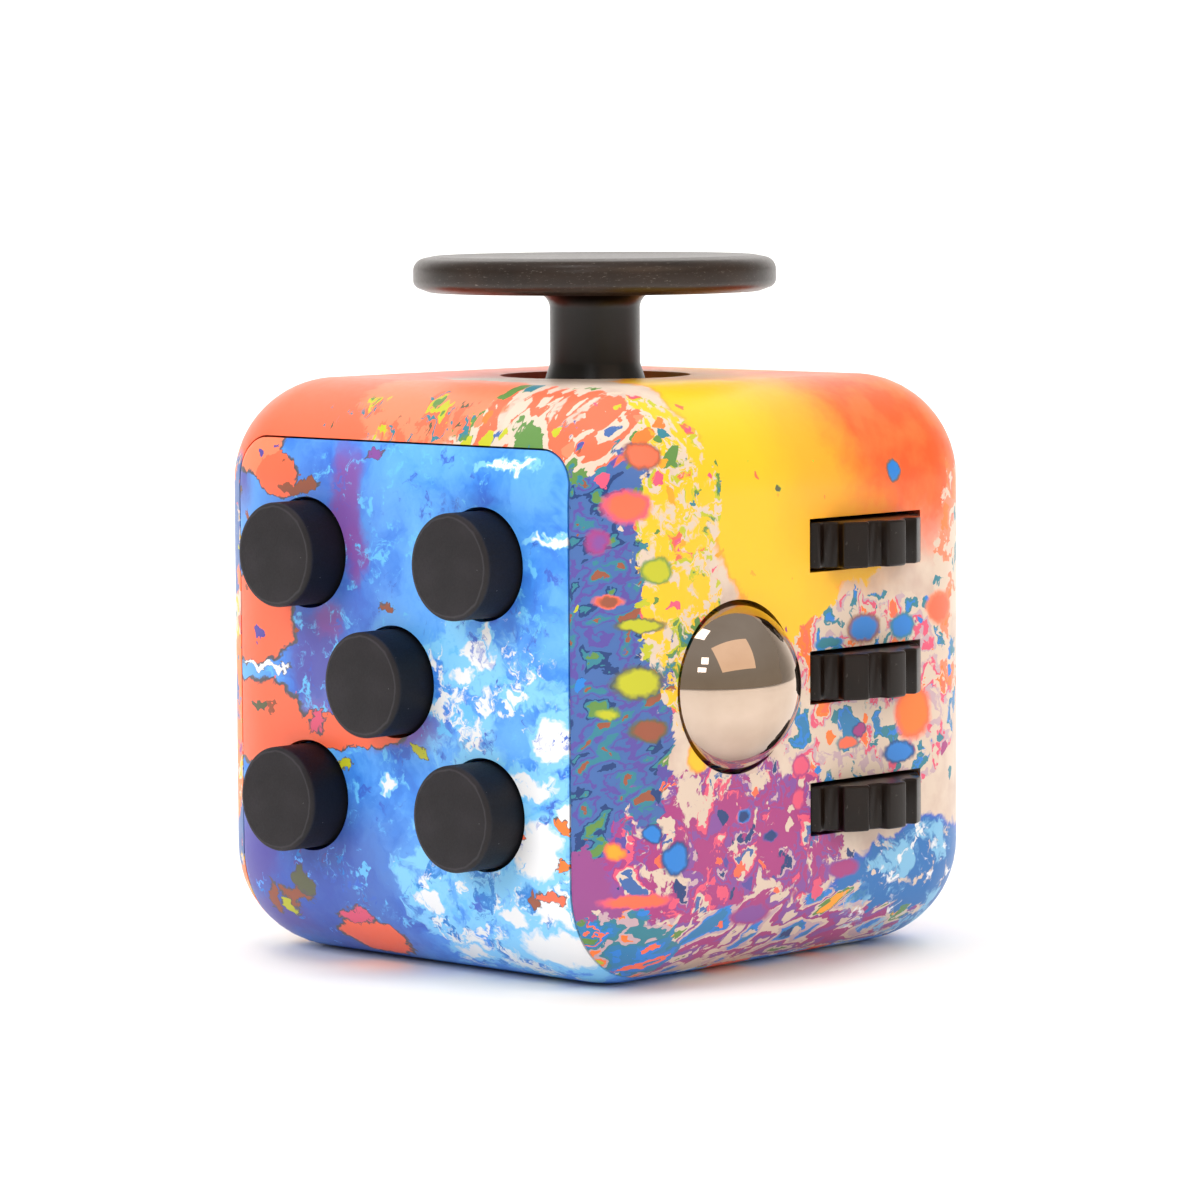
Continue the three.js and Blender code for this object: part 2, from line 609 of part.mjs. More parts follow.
// ---- back: spinning dial ----
// Heights are measured outward from the face.
function spinDial() {
  const profile = [
    [0, -3],
    [DIAL.hub, -3],
    [DIAL.hub, GAP],
    [DIAL.radius, GAP],
    [DIAL.radius, DIAL.height - DIAL.bevel],
    [DIAL.radius - DIAL.bevel, DIAL.height],
    [0, DIAL.height],
  ];
  const screwHole = rod('y', PILOT, -4, 0.4, [0, 0], 8);
  const sphere = (DIMPLE.radius ** 2 + DIMPLE.depth ** 2) / (2 * DIMPLE.depth);
  const dimpleCentre = [0, DIAL.height - DIMPLE.depth + sphere, DIMPLE.offCentre];
  const dimple = ball(sphere, dimpleCentre, [1, 1, 1], 7);
  return cut(solidOf(turned(profile, 32)), screwHole, dimple);
}

piece('spin_dial', geometryOf(spinDial()), charcoal, [0, HALF, 0]);
piece('dial_wave_washer', ringOf(DIAL.hub + GAP, 4.6, -2.9, -2.3, 16), steel, [0, HALF, 0]);
piece('dial_retainer', ringOf(PILOT, 4.8, -4.1, -3.3, 16), inside, [0, HALF, 0]);
screw('dial_screw', 4.2, [0, HALF - 4.4, 0], Y);

export default cube;
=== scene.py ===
import json
import math

import bmesh
import bpy
from mathutils import Matrix, Vector


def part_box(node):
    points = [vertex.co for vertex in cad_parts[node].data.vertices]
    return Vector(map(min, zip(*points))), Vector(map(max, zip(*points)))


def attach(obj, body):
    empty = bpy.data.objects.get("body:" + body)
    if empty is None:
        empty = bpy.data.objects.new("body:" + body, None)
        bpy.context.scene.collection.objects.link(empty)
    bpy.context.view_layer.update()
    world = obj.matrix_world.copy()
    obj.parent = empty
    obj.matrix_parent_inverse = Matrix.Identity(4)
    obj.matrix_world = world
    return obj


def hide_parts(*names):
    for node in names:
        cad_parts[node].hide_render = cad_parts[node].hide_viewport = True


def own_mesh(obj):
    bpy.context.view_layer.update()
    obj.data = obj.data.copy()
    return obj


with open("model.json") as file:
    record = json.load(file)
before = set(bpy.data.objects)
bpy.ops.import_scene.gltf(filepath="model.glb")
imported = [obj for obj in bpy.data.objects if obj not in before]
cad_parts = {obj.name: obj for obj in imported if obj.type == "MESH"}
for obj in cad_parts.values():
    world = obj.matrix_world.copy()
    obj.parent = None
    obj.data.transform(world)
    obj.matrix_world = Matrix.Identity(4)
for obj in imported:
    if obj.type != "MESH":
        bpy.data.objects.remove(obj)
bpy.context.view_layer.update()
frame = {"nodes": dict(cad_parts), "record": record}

# ---- sizes: millimetres about the middle of the cube, taken from the CAD frame ----
MM = 0.001
side_low, side_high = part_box("shell_left_top_right")
HALF = (side_high.x - side_low.x) / 2 / MM
CENTRE = Vector((0, 0, side_high.z - HALF * MM))
EDGE_RADIUS = 6.0
WALL = 2.0
INNER = HALF - WALL
SEAM_SIDE = 12.95  # where the two shells meet, on x
SEAM_TOP = 13.3  # and on z
SEAM_CORNER_RADIUS = 2.1
SEAM_WIDTH = 0.11
HOLE_GAP = 0.2  # between a moving part and the edge of its hole
SHELL_ROUNDING = 0.16  # on the edges of seams and holes

BUTTONS = ("top_left", "top_right", "centre", "bottom_left", "bottom_right")
BUTTON_RADIUS = 2.95
BUTTON_FLANGE = 3.9
GEARS = ("upper", "middle", "lower")
GEAR_TIP, GEAR_ROOT, GEAR_TEETH, GEAR_HALF_WIDTH = 5.45, 4.9, 12, 1.3
GEAR_SLOT_RADIUS, GEAR_SLOT_HALF_HEIGHT = 5.68, 1.5
BORE_RADIUS = 1.0  # of gears and rocker, round their pins
BALL_RADIUS = 5.0
JOYSTICK_HOLE, JOYSTICK_STEM, JOYSTICK_DISC = 5.5, 2.6, 10.45
GIMBAL_INNER, GIMBAL_OUTER, GIMBAL_PIN = 4.0, 5.2, 0.8
ROCKER_REACH, ROCKER_HALF_WIDTH, ROCKER_TILT = 6.65, 3.72, 13
WINDOW_HALF_WIDTH, WINDOW_HALF_HEIGHT, WINDOW_CORNER = 4, 7, 1.0  # the rocker's opening
DIAL_HUB, DIAL_HOLE, DIAL_RIM = 2.4, 2.7, 8.5
DIMPLE_RADIUS, DIMPLE_DEPTH, DIMPLE_PLACE = 2.7, 1.1, 4.1
DENT = (9.6, 6.6, 2.2)  # half length, half width and depth of the thumb dent
DENT_SWELL = (10.8, 7.8, 4.2)  # the floor's inner face behind it

X, Y, Z = Vector((1, 0, 0)), Vector((0, 1, 0)), Vector((0, 0, 1))
CORNERS = ((-1, -1), (1, -1), (1, 1), (-1, 1))


def middle_of(node):
    """The middle of a CAD node, in millimetres from the middle of the cube."""
    low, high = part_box(node)
    return ((low + high) / 2 - CENTRE) / MM


def span_of(node, axis):
    """Where a CAD node starts and ends along x, y or z (0, 1, 2), in the same millimetres."""
    low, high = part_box(node)
    return (low[axis] - CENTRE[axis]) / MM, (high[axis] - CENTRE[axis]) / MM


# ---- mesh tools: every shape is made in millimetres in its own frame ----
def rounded(corners, steps=6):
    """A line through (x, y, radius) corners, each rounded by its radius; radius 0 keeps it sharp."""
    line = []
    count = len(corners)
    for i, (x, y, radius) in enumerate(corners):
        here = Vector((x, y))
        if radius <= 0:
            line.append(here)
            continue
        before = (Vector(corners[i - 1][:2]) - here).normalized()
        after = (Vector(corners[(i + 1) % count][:2]) - here).normalized()
        angle = before.angle(after)
        reach = radius / math.tan(angle / 2)
        centre = here + (before + after).normalized() * radius / math.sin(angle / 2)
        start = here + before * reach - centre
        end = here + after * reach - centre
        turn = start.angle_signed(end)
        for k in range(steps + 1):
            a = -turn * k / steps
            spoke = Vector((start.x * math.cos(a) - start.y * math.sin(a),
                            start.x * math.sin(a) + start.y * math.cos(a)))
            line.append(centre + spoke)
    return line


def circle(radius, sides):
    """Points round a circle, as (x, y)."""
    angles = [2 * math.pi * k / sides for k in range(sides)]
    return [(radius * math.cos(a), radius * math.sin(a)) for a in angles]


def lathe(profile, sides=96):
    """A profile of (radius, height) points turned about z, closed where it meets the axis."""
    bm = bmesh.new()
    rings = []
    for radius, height in profile:
        points = [(0, 0)] if radius < 1e-6 else circle(radius, sides)
        rings.append([bm.verts.new((x, y, height)) for x, y in points])
    for low, high in zip(rings, rings[1:]):
        for k in range(sides):
            corners = dict.fromkeys((low[k % len(low)], low[(k + 1) % len(low)],
                                     high[(k + 1) % len(high)], high[k % len(high)]))
            if len(corners) > 2:
                bm.faces.new(corners)
    bmesh.ops.remove_doubles(bm, verts=bm.verts, dist=1e-5)
    bmesh.ops.recalc_face_normals(bm, faces=bm.faces)
    return bm


def prism(outline, low, high):
    """A flat outline made into a solid between two heights."""
    bm = bmesh.new()
    face = bm.faces.new([bm.verts.new((p[0], p[1], low)) for p in outline])
    top = bmesh.ops.extrude_face_region(bm, geom=[face])["geom"]
    bmesh.ops.translate(bm, verts=[v for v in top if isinstance(v, bmesh.types.BMVert)],
                        vec=(0, 0, high - low))
    bmesh.ops.recalc_face_normals(bm, faces=bm.faces)
    return bm


def rounded_cube(half, radius, steps):
    bm = bmesh.new()
    bmesh.ops.create_cube(bm, size=2 * half)
    bmesh.ops.bevel(bm, geom=bm.edges[:], offset=radius, segments=steps, profile=0.5, affect="EDGES")
    return bm


def globe(radius, scale=(1, 1, 1), subdivisions=5):
    bm = bmesh.new()
    bmesh.ops.create_icosphere(bm, subdivisions=subdivisions, radius=radius)
    bmesh.ops.scale(bm, vec=scale, verts=bm.verts)
    return bm


def coil(radius, length, turns, wire, sides=12, steps=28):
    """A spring along z: a round wire wound about the axis, with both cut ends closed."""
    bm = bmesh.new()
    rings = []
    for i in range(turns * steps + 1):
        angle = 2 * math.pi * i / steps
        spoke = Vector((math.cos(angle), math.sin(angle), 0))
        rise = wire / 2 + (length - wire) * i / (turns * steps)
        rings.append([bm.verts.new(spoke * (radius + out) + Z * (rise + up))
                      for out, up in circle(wire / 2, sides)])
    for low, high in zip(rings, rings[1:]):
        for k in range(sides):
            bm.faces.new((low[k], low[(k + 1) % sides], high[(k + 1) % sides], high[k]))
    bm.faces.new(rings[0])
    bm.faces.new(rings[-1])
    bmesh.ops.recalc_face_normals(bm, faces=bm.faces)
    return bm


def facing(outward, up=None):
    """The turn that brings the z axis to outward, and the y axis to up where that is given."""
    z = Vector(outward).normalized()
    if up is None:
        return Z.rotation_difference(z).to_matrix().to_4x4()
    y = Vector(up).normalized()
    return Matrix((y.cross(z), y, z)).transposed().to_4x4()


def placed(bm, centre=(0, 0, 0), outward=Z, up=None):
    """The same shape, turned and moved."""
    bmesh.ops.transform(bm, matrix=Matrix.Translation(Vector(centre)) @ facing(outward, up),
                        verts=bm.verts)
    return bm


def to_object(name, bm):
    mesh = bpy.data.meshes.new(name)
    bm.to_mesh(mesh)
    bm.free()
    thing = bpy.data.objects.new(name, mesh)
    bpy.context.scene.collection.objects.link(thing)
    return thing


def applied(thing):
    """Replaces the object's mesh by what its modifiers make of it."""
    graph = bpy.context.evaluated_depsgraph_get()
    mesh = bpy.data.meshes.new_from_object(thing.evaluated_get(graph))
    thing.modifiers.clear()
    thing.data = mesh
    return thing


def carve(thing, bm, operation="DIFFERENCE"):
    """Cuts a shape out of an object, joins it on, or keeps what they share."""
    tool = to_object("tool", bm)
    boolean = thing.modifiers.new("carve", "BOOLEAN")
    boolean.operation = operation
    boolean.solver = "EXACT"
    boolean.object = tool
    applied(thing)
    bpy.data.objects.remove(tool)
    return thing


def soften(thing, width, steps=3, angle=32):
    """Rounds every sharp edge by width, in millimetres."""
    bm = bmesh.new()
    bm.from_mesh(thing.data)
    bmesh.ops.remove_doubles(bm, verts=bm.verts, dist=0.004)
    bmesh.ops.dissolve_degenerate(bm, edges=bm.edges, dist=0.003)
    bm.to_mesh(thing.data)
    bm.free()
    bevel = thing.modifiers.new("soften", "BEVEL")
    bevel.width = width
    bevel.segments = steps
    bevel.limit_method = "ANGLE"
    bevel.angle_limit = math.radians(angle)
    bevel.use_clamp_overlap = True
    return applied(thing)


def finish_piece(thing, material, body, node, centre=(0, 0, 0), outward=Z, up=None, sharp=40):
    """Scales a millimetre shape to metres at its place, and puts it in its CAD node's stead."""
    bm = bmesh.new()
    bm.from_mesh(thing.data)
    bm.normal_update()
    bm.to_mesh(thing.data)
    bm.free()
    for polygon in thing.data.polygons:
        polygon.use_smooth = True
    thing.data.set_sharp_from_angle(angle=math.radians(sharp))
    thing.data.transform(Matrix.Scale(MM, 4))
    thing.matrix_world = Matrix.Translation(CENTRE + Vector(centre) * MM) @ facing(outward, up)
    thing.data.materials.clear()
    thing.data.materials.append(material)
    weigh = thing.modifiers.new("even_shading", "WEIGHTED_NORMAL")
    weigh.keep_sharp = True
    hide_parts(node)
    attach(thing, body)


# ---- material tools ----
def srgb(red, green, blue):
    """A screen colour in 0 to 255, as the linear colour that the shaders take."""
    parts = [c / 255 for c in (red, green, blue)]
    return tuple(c / 12.92 if c <= 0.04045 else ((c + 0.055) / 1.055) ** 2.4 for c in parts) + (1.0,)


class Nodes:
    """Builds one node tree. Inputs take plain values and sockets alike."""

    def __init__(self, tree):
        self.tree = tree
        tree.nodes.clear()

    def plug(self, socket, value):
        if isinstance(value, bpy.types.NodeSocket):
            self.tree.links.new(value, socket)
        else:
            socket.default_value = value

    def add(self, kind, inputs=None, **settings):
        node = self.tree.nodes.new("ShaderNode" + kind)
        for key, value in settings.items():
            setattr(node, key, value)
        for key, value in (inputs or {}).items():
            self.plug(node.inputs[key], value)
        return node

    def math(self, operation, *values):
        return self.add("Math", dict(enumerate(values)), operation=operation).outputs[0]

    def vector(self, operation, *values):
        node = self.add("VectorMath", operation=operation)
        for i, value in enumerate(values):
            key = "Scale" if operation == "SCALE" and i == 1 else i
            self.plug(node.inputs[key], value)
        return node.outputs["Value" if operation == "LENGTH" else "Vector"]

    def noise(self, vector, scale, detail=2.0, roughness=0.5, distortion=0.0, output="Fac"):
        inputs = {"Vector": vector, "Scale": scale, "Detail": detail, "Roughness": roughness,
                  "Distortion": distortion}
        return self.add("TexNoise", inputs).outputs[output]

    def mix(self, factor, a, b):
        node = self.add("Mix", data_type="RGBA")
        for key, value in ((0, factor), (6, a), (7, b)):
            self.plug(node.inputs[key], value)
        return node.outputs[2]

    def fade(self, value, start, end, kind="SMOOTHSTEP"):
        """0 at start and 1 at end, and flat beyond them."""
        inputs = {"Value": value, "From Min": start, "From Max": end}
        return self.add("MapRange", inputs, interpolation_type=kind).outputs[0]

    def step(self, value, at, soft):
        """0 below at - soft, 1 above at + soft."""
        return self.fade(value, at - soft, at + soft)

    def tint(self, colour, mask, strength, paint):
        return self.mix(self.math("MULTIPLY", mask, strength), colour, paint)

    def shift(self, place, x, y, z):
        return self.vector("ADD", place, (x, y, z))

    def about_axis(self, place):
        """How far the place lies from its z axis."""
        parts = self.add("SeparateXYZ", {"Vector": place}).outputs
        flat = self.add("CombineXYZ", {"X": parts["X"], "Y": parts["Y"]}).outputs[0]
        return self.vector("LENGTH", flat)

    def ramp(self, factor, stops, mode="LINEAR"):
        node = self.add("ValToRGB", {"Fac": factor})
        node.color_ramp.interpolation = mode
        elements = node.color_ramp.elements
        while len(elements) < len(stops):
            elements.new(1.0)
        for element, (position, colour) in zip(elements, stops):
            element.position = position
            element.color = colour
        return node.outputs["Color"]

    def local(self):
        """The point being shaded, in millimetres in the piece's own frame."""
        return self.vector("SCALE", self.add("TexCoord").outputs["Object"], 1 / MM)

    def shader(self, height=None, bump=0.1, bump_scale=1.0, **inputs):
        """The Principled shader and the material's output. Height is in millimetres."""
        principled = self.add("BsdfPrincipled", {key.replace("_", " "): v for key, v in inputs.items()})
        if height is not None:
            relief = {"Height": height, "Distance": bump_scale * MM, "Strength": bump}
            self.plug(principled.inputs["Normal"], self.add("Bump", relief).outputs[0])
        output = self.add("OutputMaterial")
        self.plug(output.inputs["Surface"], principled.outputs[0])


def material(name):
    made = bpy.data.materials.new(name)
    made.use_nodes = True
    return made, Nodes(made.node_tree)


# ---- the splashed print ----
CREAM = srgb(216, 197, 180)
WHITE = srgb(234, 236, 240)
SKY = srgb(92, 168, 250)
AZURE = srgb(40, 128, 214)
ROYAL = srgb(58, 96, 196)
NAVY = srgb(32, 62, 120)
INDIGO = srgb(88, 76, 160)
PURPLE = srgb(132, 78, 158)
MAGENTA = srgb(166, 60, 128)
PINK = srgb(226, 88, 122)
CORAL = srgb(250, 110, 78)
SALMON = srgb(246, 134, 98)
ORANGE = srgb(253, 124, 52)
AMBER = srgb(250, 164, 44)
YELLOW = srgb(244, 194, 34)
LIME = srgb(190, 192, 42)
GREEN = srgb(96, 140, 72)
TEAL = srgb(52, 128, 146)
MOSS = srgb(92, 96, 72)
RUST = srgb(150, 84, 62)
STEEL_BLUE = srgb(66, 104, 168)


def splash_group():
    """A patch of paint: an ellipsoid with a rim of another colour, over the ground colour."""
    group = bpy.data.node_groups.new("paint_patch", "ShaderNodeTree")
    sockets = (("Place", "Vector"), ("Middle", "Vector"), ("Size", "Vector"), ("Ground", "Color"),
               ("Paint", "Color"), ("Rim", "Color"), ("Rim Width", "Float"), ("Softness", "Float"))
    for name, kind in sockets:
        group.interface.new_socket(name, in_out="INPUT", socket_type="NodeSocket" + kind)
    group.interface.new_socket("Colour", in_out="OUTPUT", socket_type="NodeSocketColor")
    n = Nodes(group)
    given = group.nodes.new("NodeGroupInput").outputs
    offset = n.vector("DIVIDE", n.vector("SUBTRACT", given["Place"], given["Middle"]), given["Size"])
    distance = n.vector("LENGTH", offset)
    inner = n.fade(distance, 1.0, n.math("SUBTRACT", 1.0, given["Softness"]), "LINEAR")
    edge = n.math("ADD", 1.0, given["Rim Width"])
    outer = n.fade(distance, edge, n.math("SUBTRACT", edge, given["Softness"]), "LINEAR")
    rimmed = n.mix(outer, given["Ground"], given["Rim"])
    painted = n.mix(inner, rimmed, given["Paint"])
    n.plug(group.nodes.new("NodeGroupOutput").inputs["Colour"], painted)
    return group


PATCH = splash_group()


def patch(n, ground, place, middle, size, paint, rim=None, rim_width=0.0, softness=0.05):
    node = n.add("Group", node_tree=PATCH)
    values = {"Place": place, "Middle": middle, "Size": size, "Ground": ground, "Paint": paint,
              "Rim": rim or paint, "Rim Width": rim_width, "Softness": softness}
    for key, value in values.items():
        n.plug(node.inputs[key], value)
    return node.outputs["Colour"]


def ragged(n, place, strengths):
    """The place, shifted by noises, each given as (grain per millimetre, shift in millimetres)."""
    for scale, shift in strengths:
        drift = n.vector("SUBTRACT", n.noise(place, scale, output="Color"), (0.5, 0.5, 0.5))
        place = n.vector("ADD", place, n.vector("SCALE", drift, shift))
    return place


def zone(n, place, middle, size, reach=0.35):
    """1 in the middle of an ellipsoid, falling to 0 a little outside it."""
    offset = n.vector("DIVIDE", n.vector("SUBTRACT", place, middle), size)
    return n.fade(n.vector("LENGTH", offset), 1 + reach, 1 - reach)


def flecks(n, ground, place, where, scale, density, size, colours):
    """Drops of paint of mixed colours: one may sit in each cell of a Voronoi pattern."""
    cells = n.add("TexVoronoi", {"Vector": place, "Scale": scale, "Randomness": 1.0})
    pick = n.add("SeparateColor", {"Color": cells.outputs["Color"]})
    chance = n.math("MULTIPLY", where, density)
    present = n.math("LESS_THAN", pick.outputs["Red"], chance)
    reach = n.math("MULTIPLY_ADD", pick.outputs["Blue"], size * 0.8, size * 0.45)
    drop = n.math("LESS_THAN", cells.outputs["Distance"], reach)
    stops = [(i / len(colours), colour) for i, colour in enumerate(colours)]
    paint = n.ramp(pick.outputs["Green"], stops, "CONSTANT")
    return n.mix(n.math("MULTIPLY", present, drop), ground, paint)


def wisps(n, ground, place, where, scale, amount, colour, softness=0.05, distortion=0.6):
    """Cloudy patches where a noise is high."""
    cloud = n.noise(place, scale, 4.0, 0.6, distortion)
    level = n.math("ADD", cloud, n.math("MULTIPLY", n.math("SUBTRACT", where, 1.0), 0.5))
    mask = n.step(level, 1 - amount, softness)
    return n.mix(mask, ground, colour)


def marbled(n, ground, place, where, scale, colours, coverage=0.5, detail=1.2):
    """Contour bands of many colours, as in splashed paint, torn off raggedly where the zone ends."""
    fine = n.noise(place, scale, detail, 0.5, 0.4)
    low, high = 0.27, 0.73
    stops = [(low + (high - low) * i / len(colours), colour) for i, colour in enumerate(colours)]
    stops[0] = (0.0, colours[0])
    paint = n.ramp(fine, stops, "CONSTANT")
    torn = n.noise(place, scale * 0.8, 4.0, 0.65)
    level = n.math("ADD", torn, n.math("MULTIPLY", n.math("SUBTRACT", where, 1.0), 0.55))
    return n.mix(n.step(level, 1 - coverage, 0.015), ground, paint)


def laid(n, colour, *layers):
    """The colour after several layers, each given as (paint function, its settings)."""
    for lay, *settings in layers:
        colour = lay(n, colour, *settings)
    return colour


def print_shader(n, colour, place):
    """Satin lacquer over the print, very slightly uneven in height and gloss."""
    fine = n.noise(place, 2.2, 3.0)
    dust = n.noise(place, 14.0, 2.0)
    roughness = n.math("MULTIPLY_ADD", fine, 0.16, 0.33)
    height = n.math("MULTIPLY_ADD", dust, 0.35, fine)
    n.shader(height=height, bump=0.12, bump_scale=0.03, Base_Color=colour, Roughness=roughness,
             Specular_IOR_Level=0.42, Coat_Weight=0.12, Coat_Roughness=0.3)


def front_print():
    """Sky blue with clouds and ragged orange patches, for the shell of the push buttons."""
    made, n = material("splash_print_front")
    place = n.local()
    big = ragged(n, place, [(0.22, 2.2), (0.8, 1.4), (2.6, 0.55)])
    small = ragged(n, place, [(0.9, 1.8), (3.0, 0.7)])
    face = -HALF

    tone = n.noise(big, 0.2, 5.0, 0.62)
    colour = n.ramp(tone, [(0.32, srgb(46, 104, 214)), (0.44, srgb(62, 140, 236)), (0.55, SKY),
                           (0.68, srgb(104, 180, 250))])
    # deeper blue and violet towards the left, and a darker blue over the bottom rounding that is painted
    # shade; here and below, each patch is given as (x, z, half width, half height, paint)
    colour = n.tint(colour, zone(n, big, (-6, face, 6), (5.5, 9, 7), 0.7), 0.6, srgb(74, 92, 190))
    # painted shade: the bottom rounding is tinted a darker blue for the shade under the cube; the same
    # zone also places the blue marbling below
    low = zone(n, big, (-7, face, -12), (8, 12, 5.5), 0.5)
    colour = n.tint(colour, low, 0.8, srgb(60, 76, 170))
    violets = (
        (-3.9, 10.0, 1.2, 2.8, PURPLE), (-3.0, 7.2, 0.9, 1.8, PURPLE), (-6.3, 0.8, 2.3, 2.6, INDIGO),
        (-12, -10.6, 2.6, 2.4, INDIGO), (-5.5, 3.4, 1.1, 1.0, PURPLE), (-13, 11.5, 1.8, 2.6, INDIGO),
        (6.3, -3.3, 1.0, 0.5, INDIGO), (-11.5, -14.5, 3, 1.2, INDIGO), (-15.8, -8, 1.2, 7, PURPLE),
        (-2.4, -2.6, 5.6, 1.3, PURPLE),
    )
    for x, z, sx, sz, paint in violets:
        colour = n.tint(colour, zone(n, big, (x, face, z), (sx, 6, sz), 0.45), 0.85, paint)
    colour = marbled(n, colour, small, low, 0.55, (INDIGO, AZURE, ROYAL, SKY, INDIGO, AZURE), 0.4)
    # clouds, each (x, z, half width, half height)
    lower_right = zone(n, place, (7.5, face, -12), (9.0, 14, 7), 0.45)
    upper_right = zone(n, place, (8, face, -1), (8.0, 6, 8.0), 0.4)
    pale = srgb(128, 202, 250)
    colour = laid(
        n, colour,
        (wisps, big, lower_right, 0.42, 0.54, pale, 0.05),
        (wisps, big, upper_right, 0.34, 0.47, pale, 0.06),
        (wisps, small, lower_right, 0.45, 0.45, WHITE, 0.03),
        (wisps, small, upper_right, 0.5, 0.40, WHITE, 0.03),
        (wisps, n.shift(small, 0, 0, 40), lower_right, 0.5, 0.41, AZURE, 0.03),
    )
    clouds = (
        (6.6, 1.8, 1.5, 0.8), (5.4, 0.6, 0.9, 0.5), (12.0, 8.4, 1.5, 0.3), (7.2, 3.0, 0.4, 0.8),
        (11.8, -2.6, 1.2, 1.3), (10.4, -5.0, 2.0, 0.7), (10.8, -8.6, 1.8, 1.7), (8.6, 12.4, 2.0, 0.25),
        (11.2, -14.2, 3.0, 1.2), (9.5, -0.3, 1.0, 0.4), (-0.6, -5.8, 0.7, 0.4), (9.0, -12.4, 1.3, 0.7),
        (4.2, -15.0, 1.6, 0.5), (13.0, -6.6, 0.7, 0.9), (2.6, -12.2, 1.4, 0.5),
    )
    for x, z, sx, sz in clouds:
        colour = patch(n, colour, small, (x, face, z), (sx, 4, sz), WHITE, pale, 0.4, 0.22)
    whole = zone(n, place, (0, face, 0), (15, 6, 15), 0.1)
    colour = laid(
        n, colour,
        (wisps, n.shift(small, 9, 0, 0), whole, 0.7, 0.38, srgb(104, 190, 246), 0.05),
        (wisps, n.shift(small, 0, 0, 9), whole, 0.6, 0.36, srgb(60, 104, 206), 0.05),
    )
    # orange, outlined in grey-green where nothing orange lies beside it
    outline = srgb(88, 86, 92)
    oranges = (
        (-11.2, 12.6, 2.0, 1.9, SALMON), (-9.2, 11.2, 1.6, 1.1, CORAL), (-7.5, 10.7, 1.5, 0.35, RUST),
        (-12.2, 2.9, 4.2, 2.3, CORAL), (-12.0, -2.7, 4.7, 2.3, CORAL), (-5.2, -3.2, 5.6, 0.95, CORAL),
        (-3.6, -15.0, 3.0, 1.3, CORAL),
    )
    for x, z, sx, sz, paint in oranges:
        colour = patch(n, colour, big, (x, face, z), (sx * 1.08, 5.4, sz * 1.08), outline)
    for x, z, sx, sz, paint in oranges:
        colour = patch(n, colour, big, (x, face, z), (sx, 5, sz), paint)
    drops = (
        (-10.4, 0.35, 2.2, 0.2, WHITE), (-10.9, -2.0, 0.8, 0.25, MOSS), (-8.6, -12.8, 1.4, 0.5, RUST),
        (-7.7, -11.9, 0.6, 0.9, MOSS), (-9.4, -13.6, 0.6, 0.5, LIME), (-0.6, 4.3, 0.45, 0.35, RUST),
        (-1.8, 12.6, 0.6, 0.35, PURPLE), (-4.2, -4.9, 0.8, 0.3, LIME), (1.8, -3.6, 0.5, 0.3, LIME),
        (-4.2, -13.7, 1.4, 0.5, PINK), (11.8, -11.2, 0.8, 0.4, CORAL), (10.7, -11.4, 0.5, 0.3, RUST),
        (9.6, -7.6, 0.5, 0.2, CORAL), (12.6, -7.2, 0.4, 0.4, ORANGE), (12.5, -9.2, 0.35, 0.3, ORANGE),
        (-13.2, 9.9, 0.5, 0.8, RUST), (-6.2, -2.6, 0.6, 0.7, PINK), (-10.6, -13.3, 0.4, 1.2, RUST),
    )
    for x, z, sx, sz, paint in drops:
        colour = patch(n, colour, small, (x, face, z), (sx, 3, sz), paint, outline, 0.16, 0.12)
    near_orange = zone(n, place, (-11.5, face, 7.0), (4.5, 5, 9.0), 0.3)
    colour = flecks(n, colour, small, near_orange, 0.9, 0.25, 0.3, (RUST, INDIGO, CORAL, MOSS))
    # the faces out of sight carry looser patches of the same paint
    behind = n.math("SUBTRACT", 1.0, zone(n, place, (0, face, 0), (60, 9, 60), 0.3))
    colour = laid(
        n, colour,
        (wisps, big, behind, 0.17, 0.47, outline, 0.01),
        (wisps, big, behind, 0.17, 0.455, CORAL, 0.01),
        (wisps, small, behind, 0.4, 0.4, WHITE, 0.03),
        (flecks, small, behind, 0.7, 0.22, 0.32, (CORAL, LIME, WHITE, INDIGO, AMBER)),
    )
    print_shader(n, colour, place)
    return made


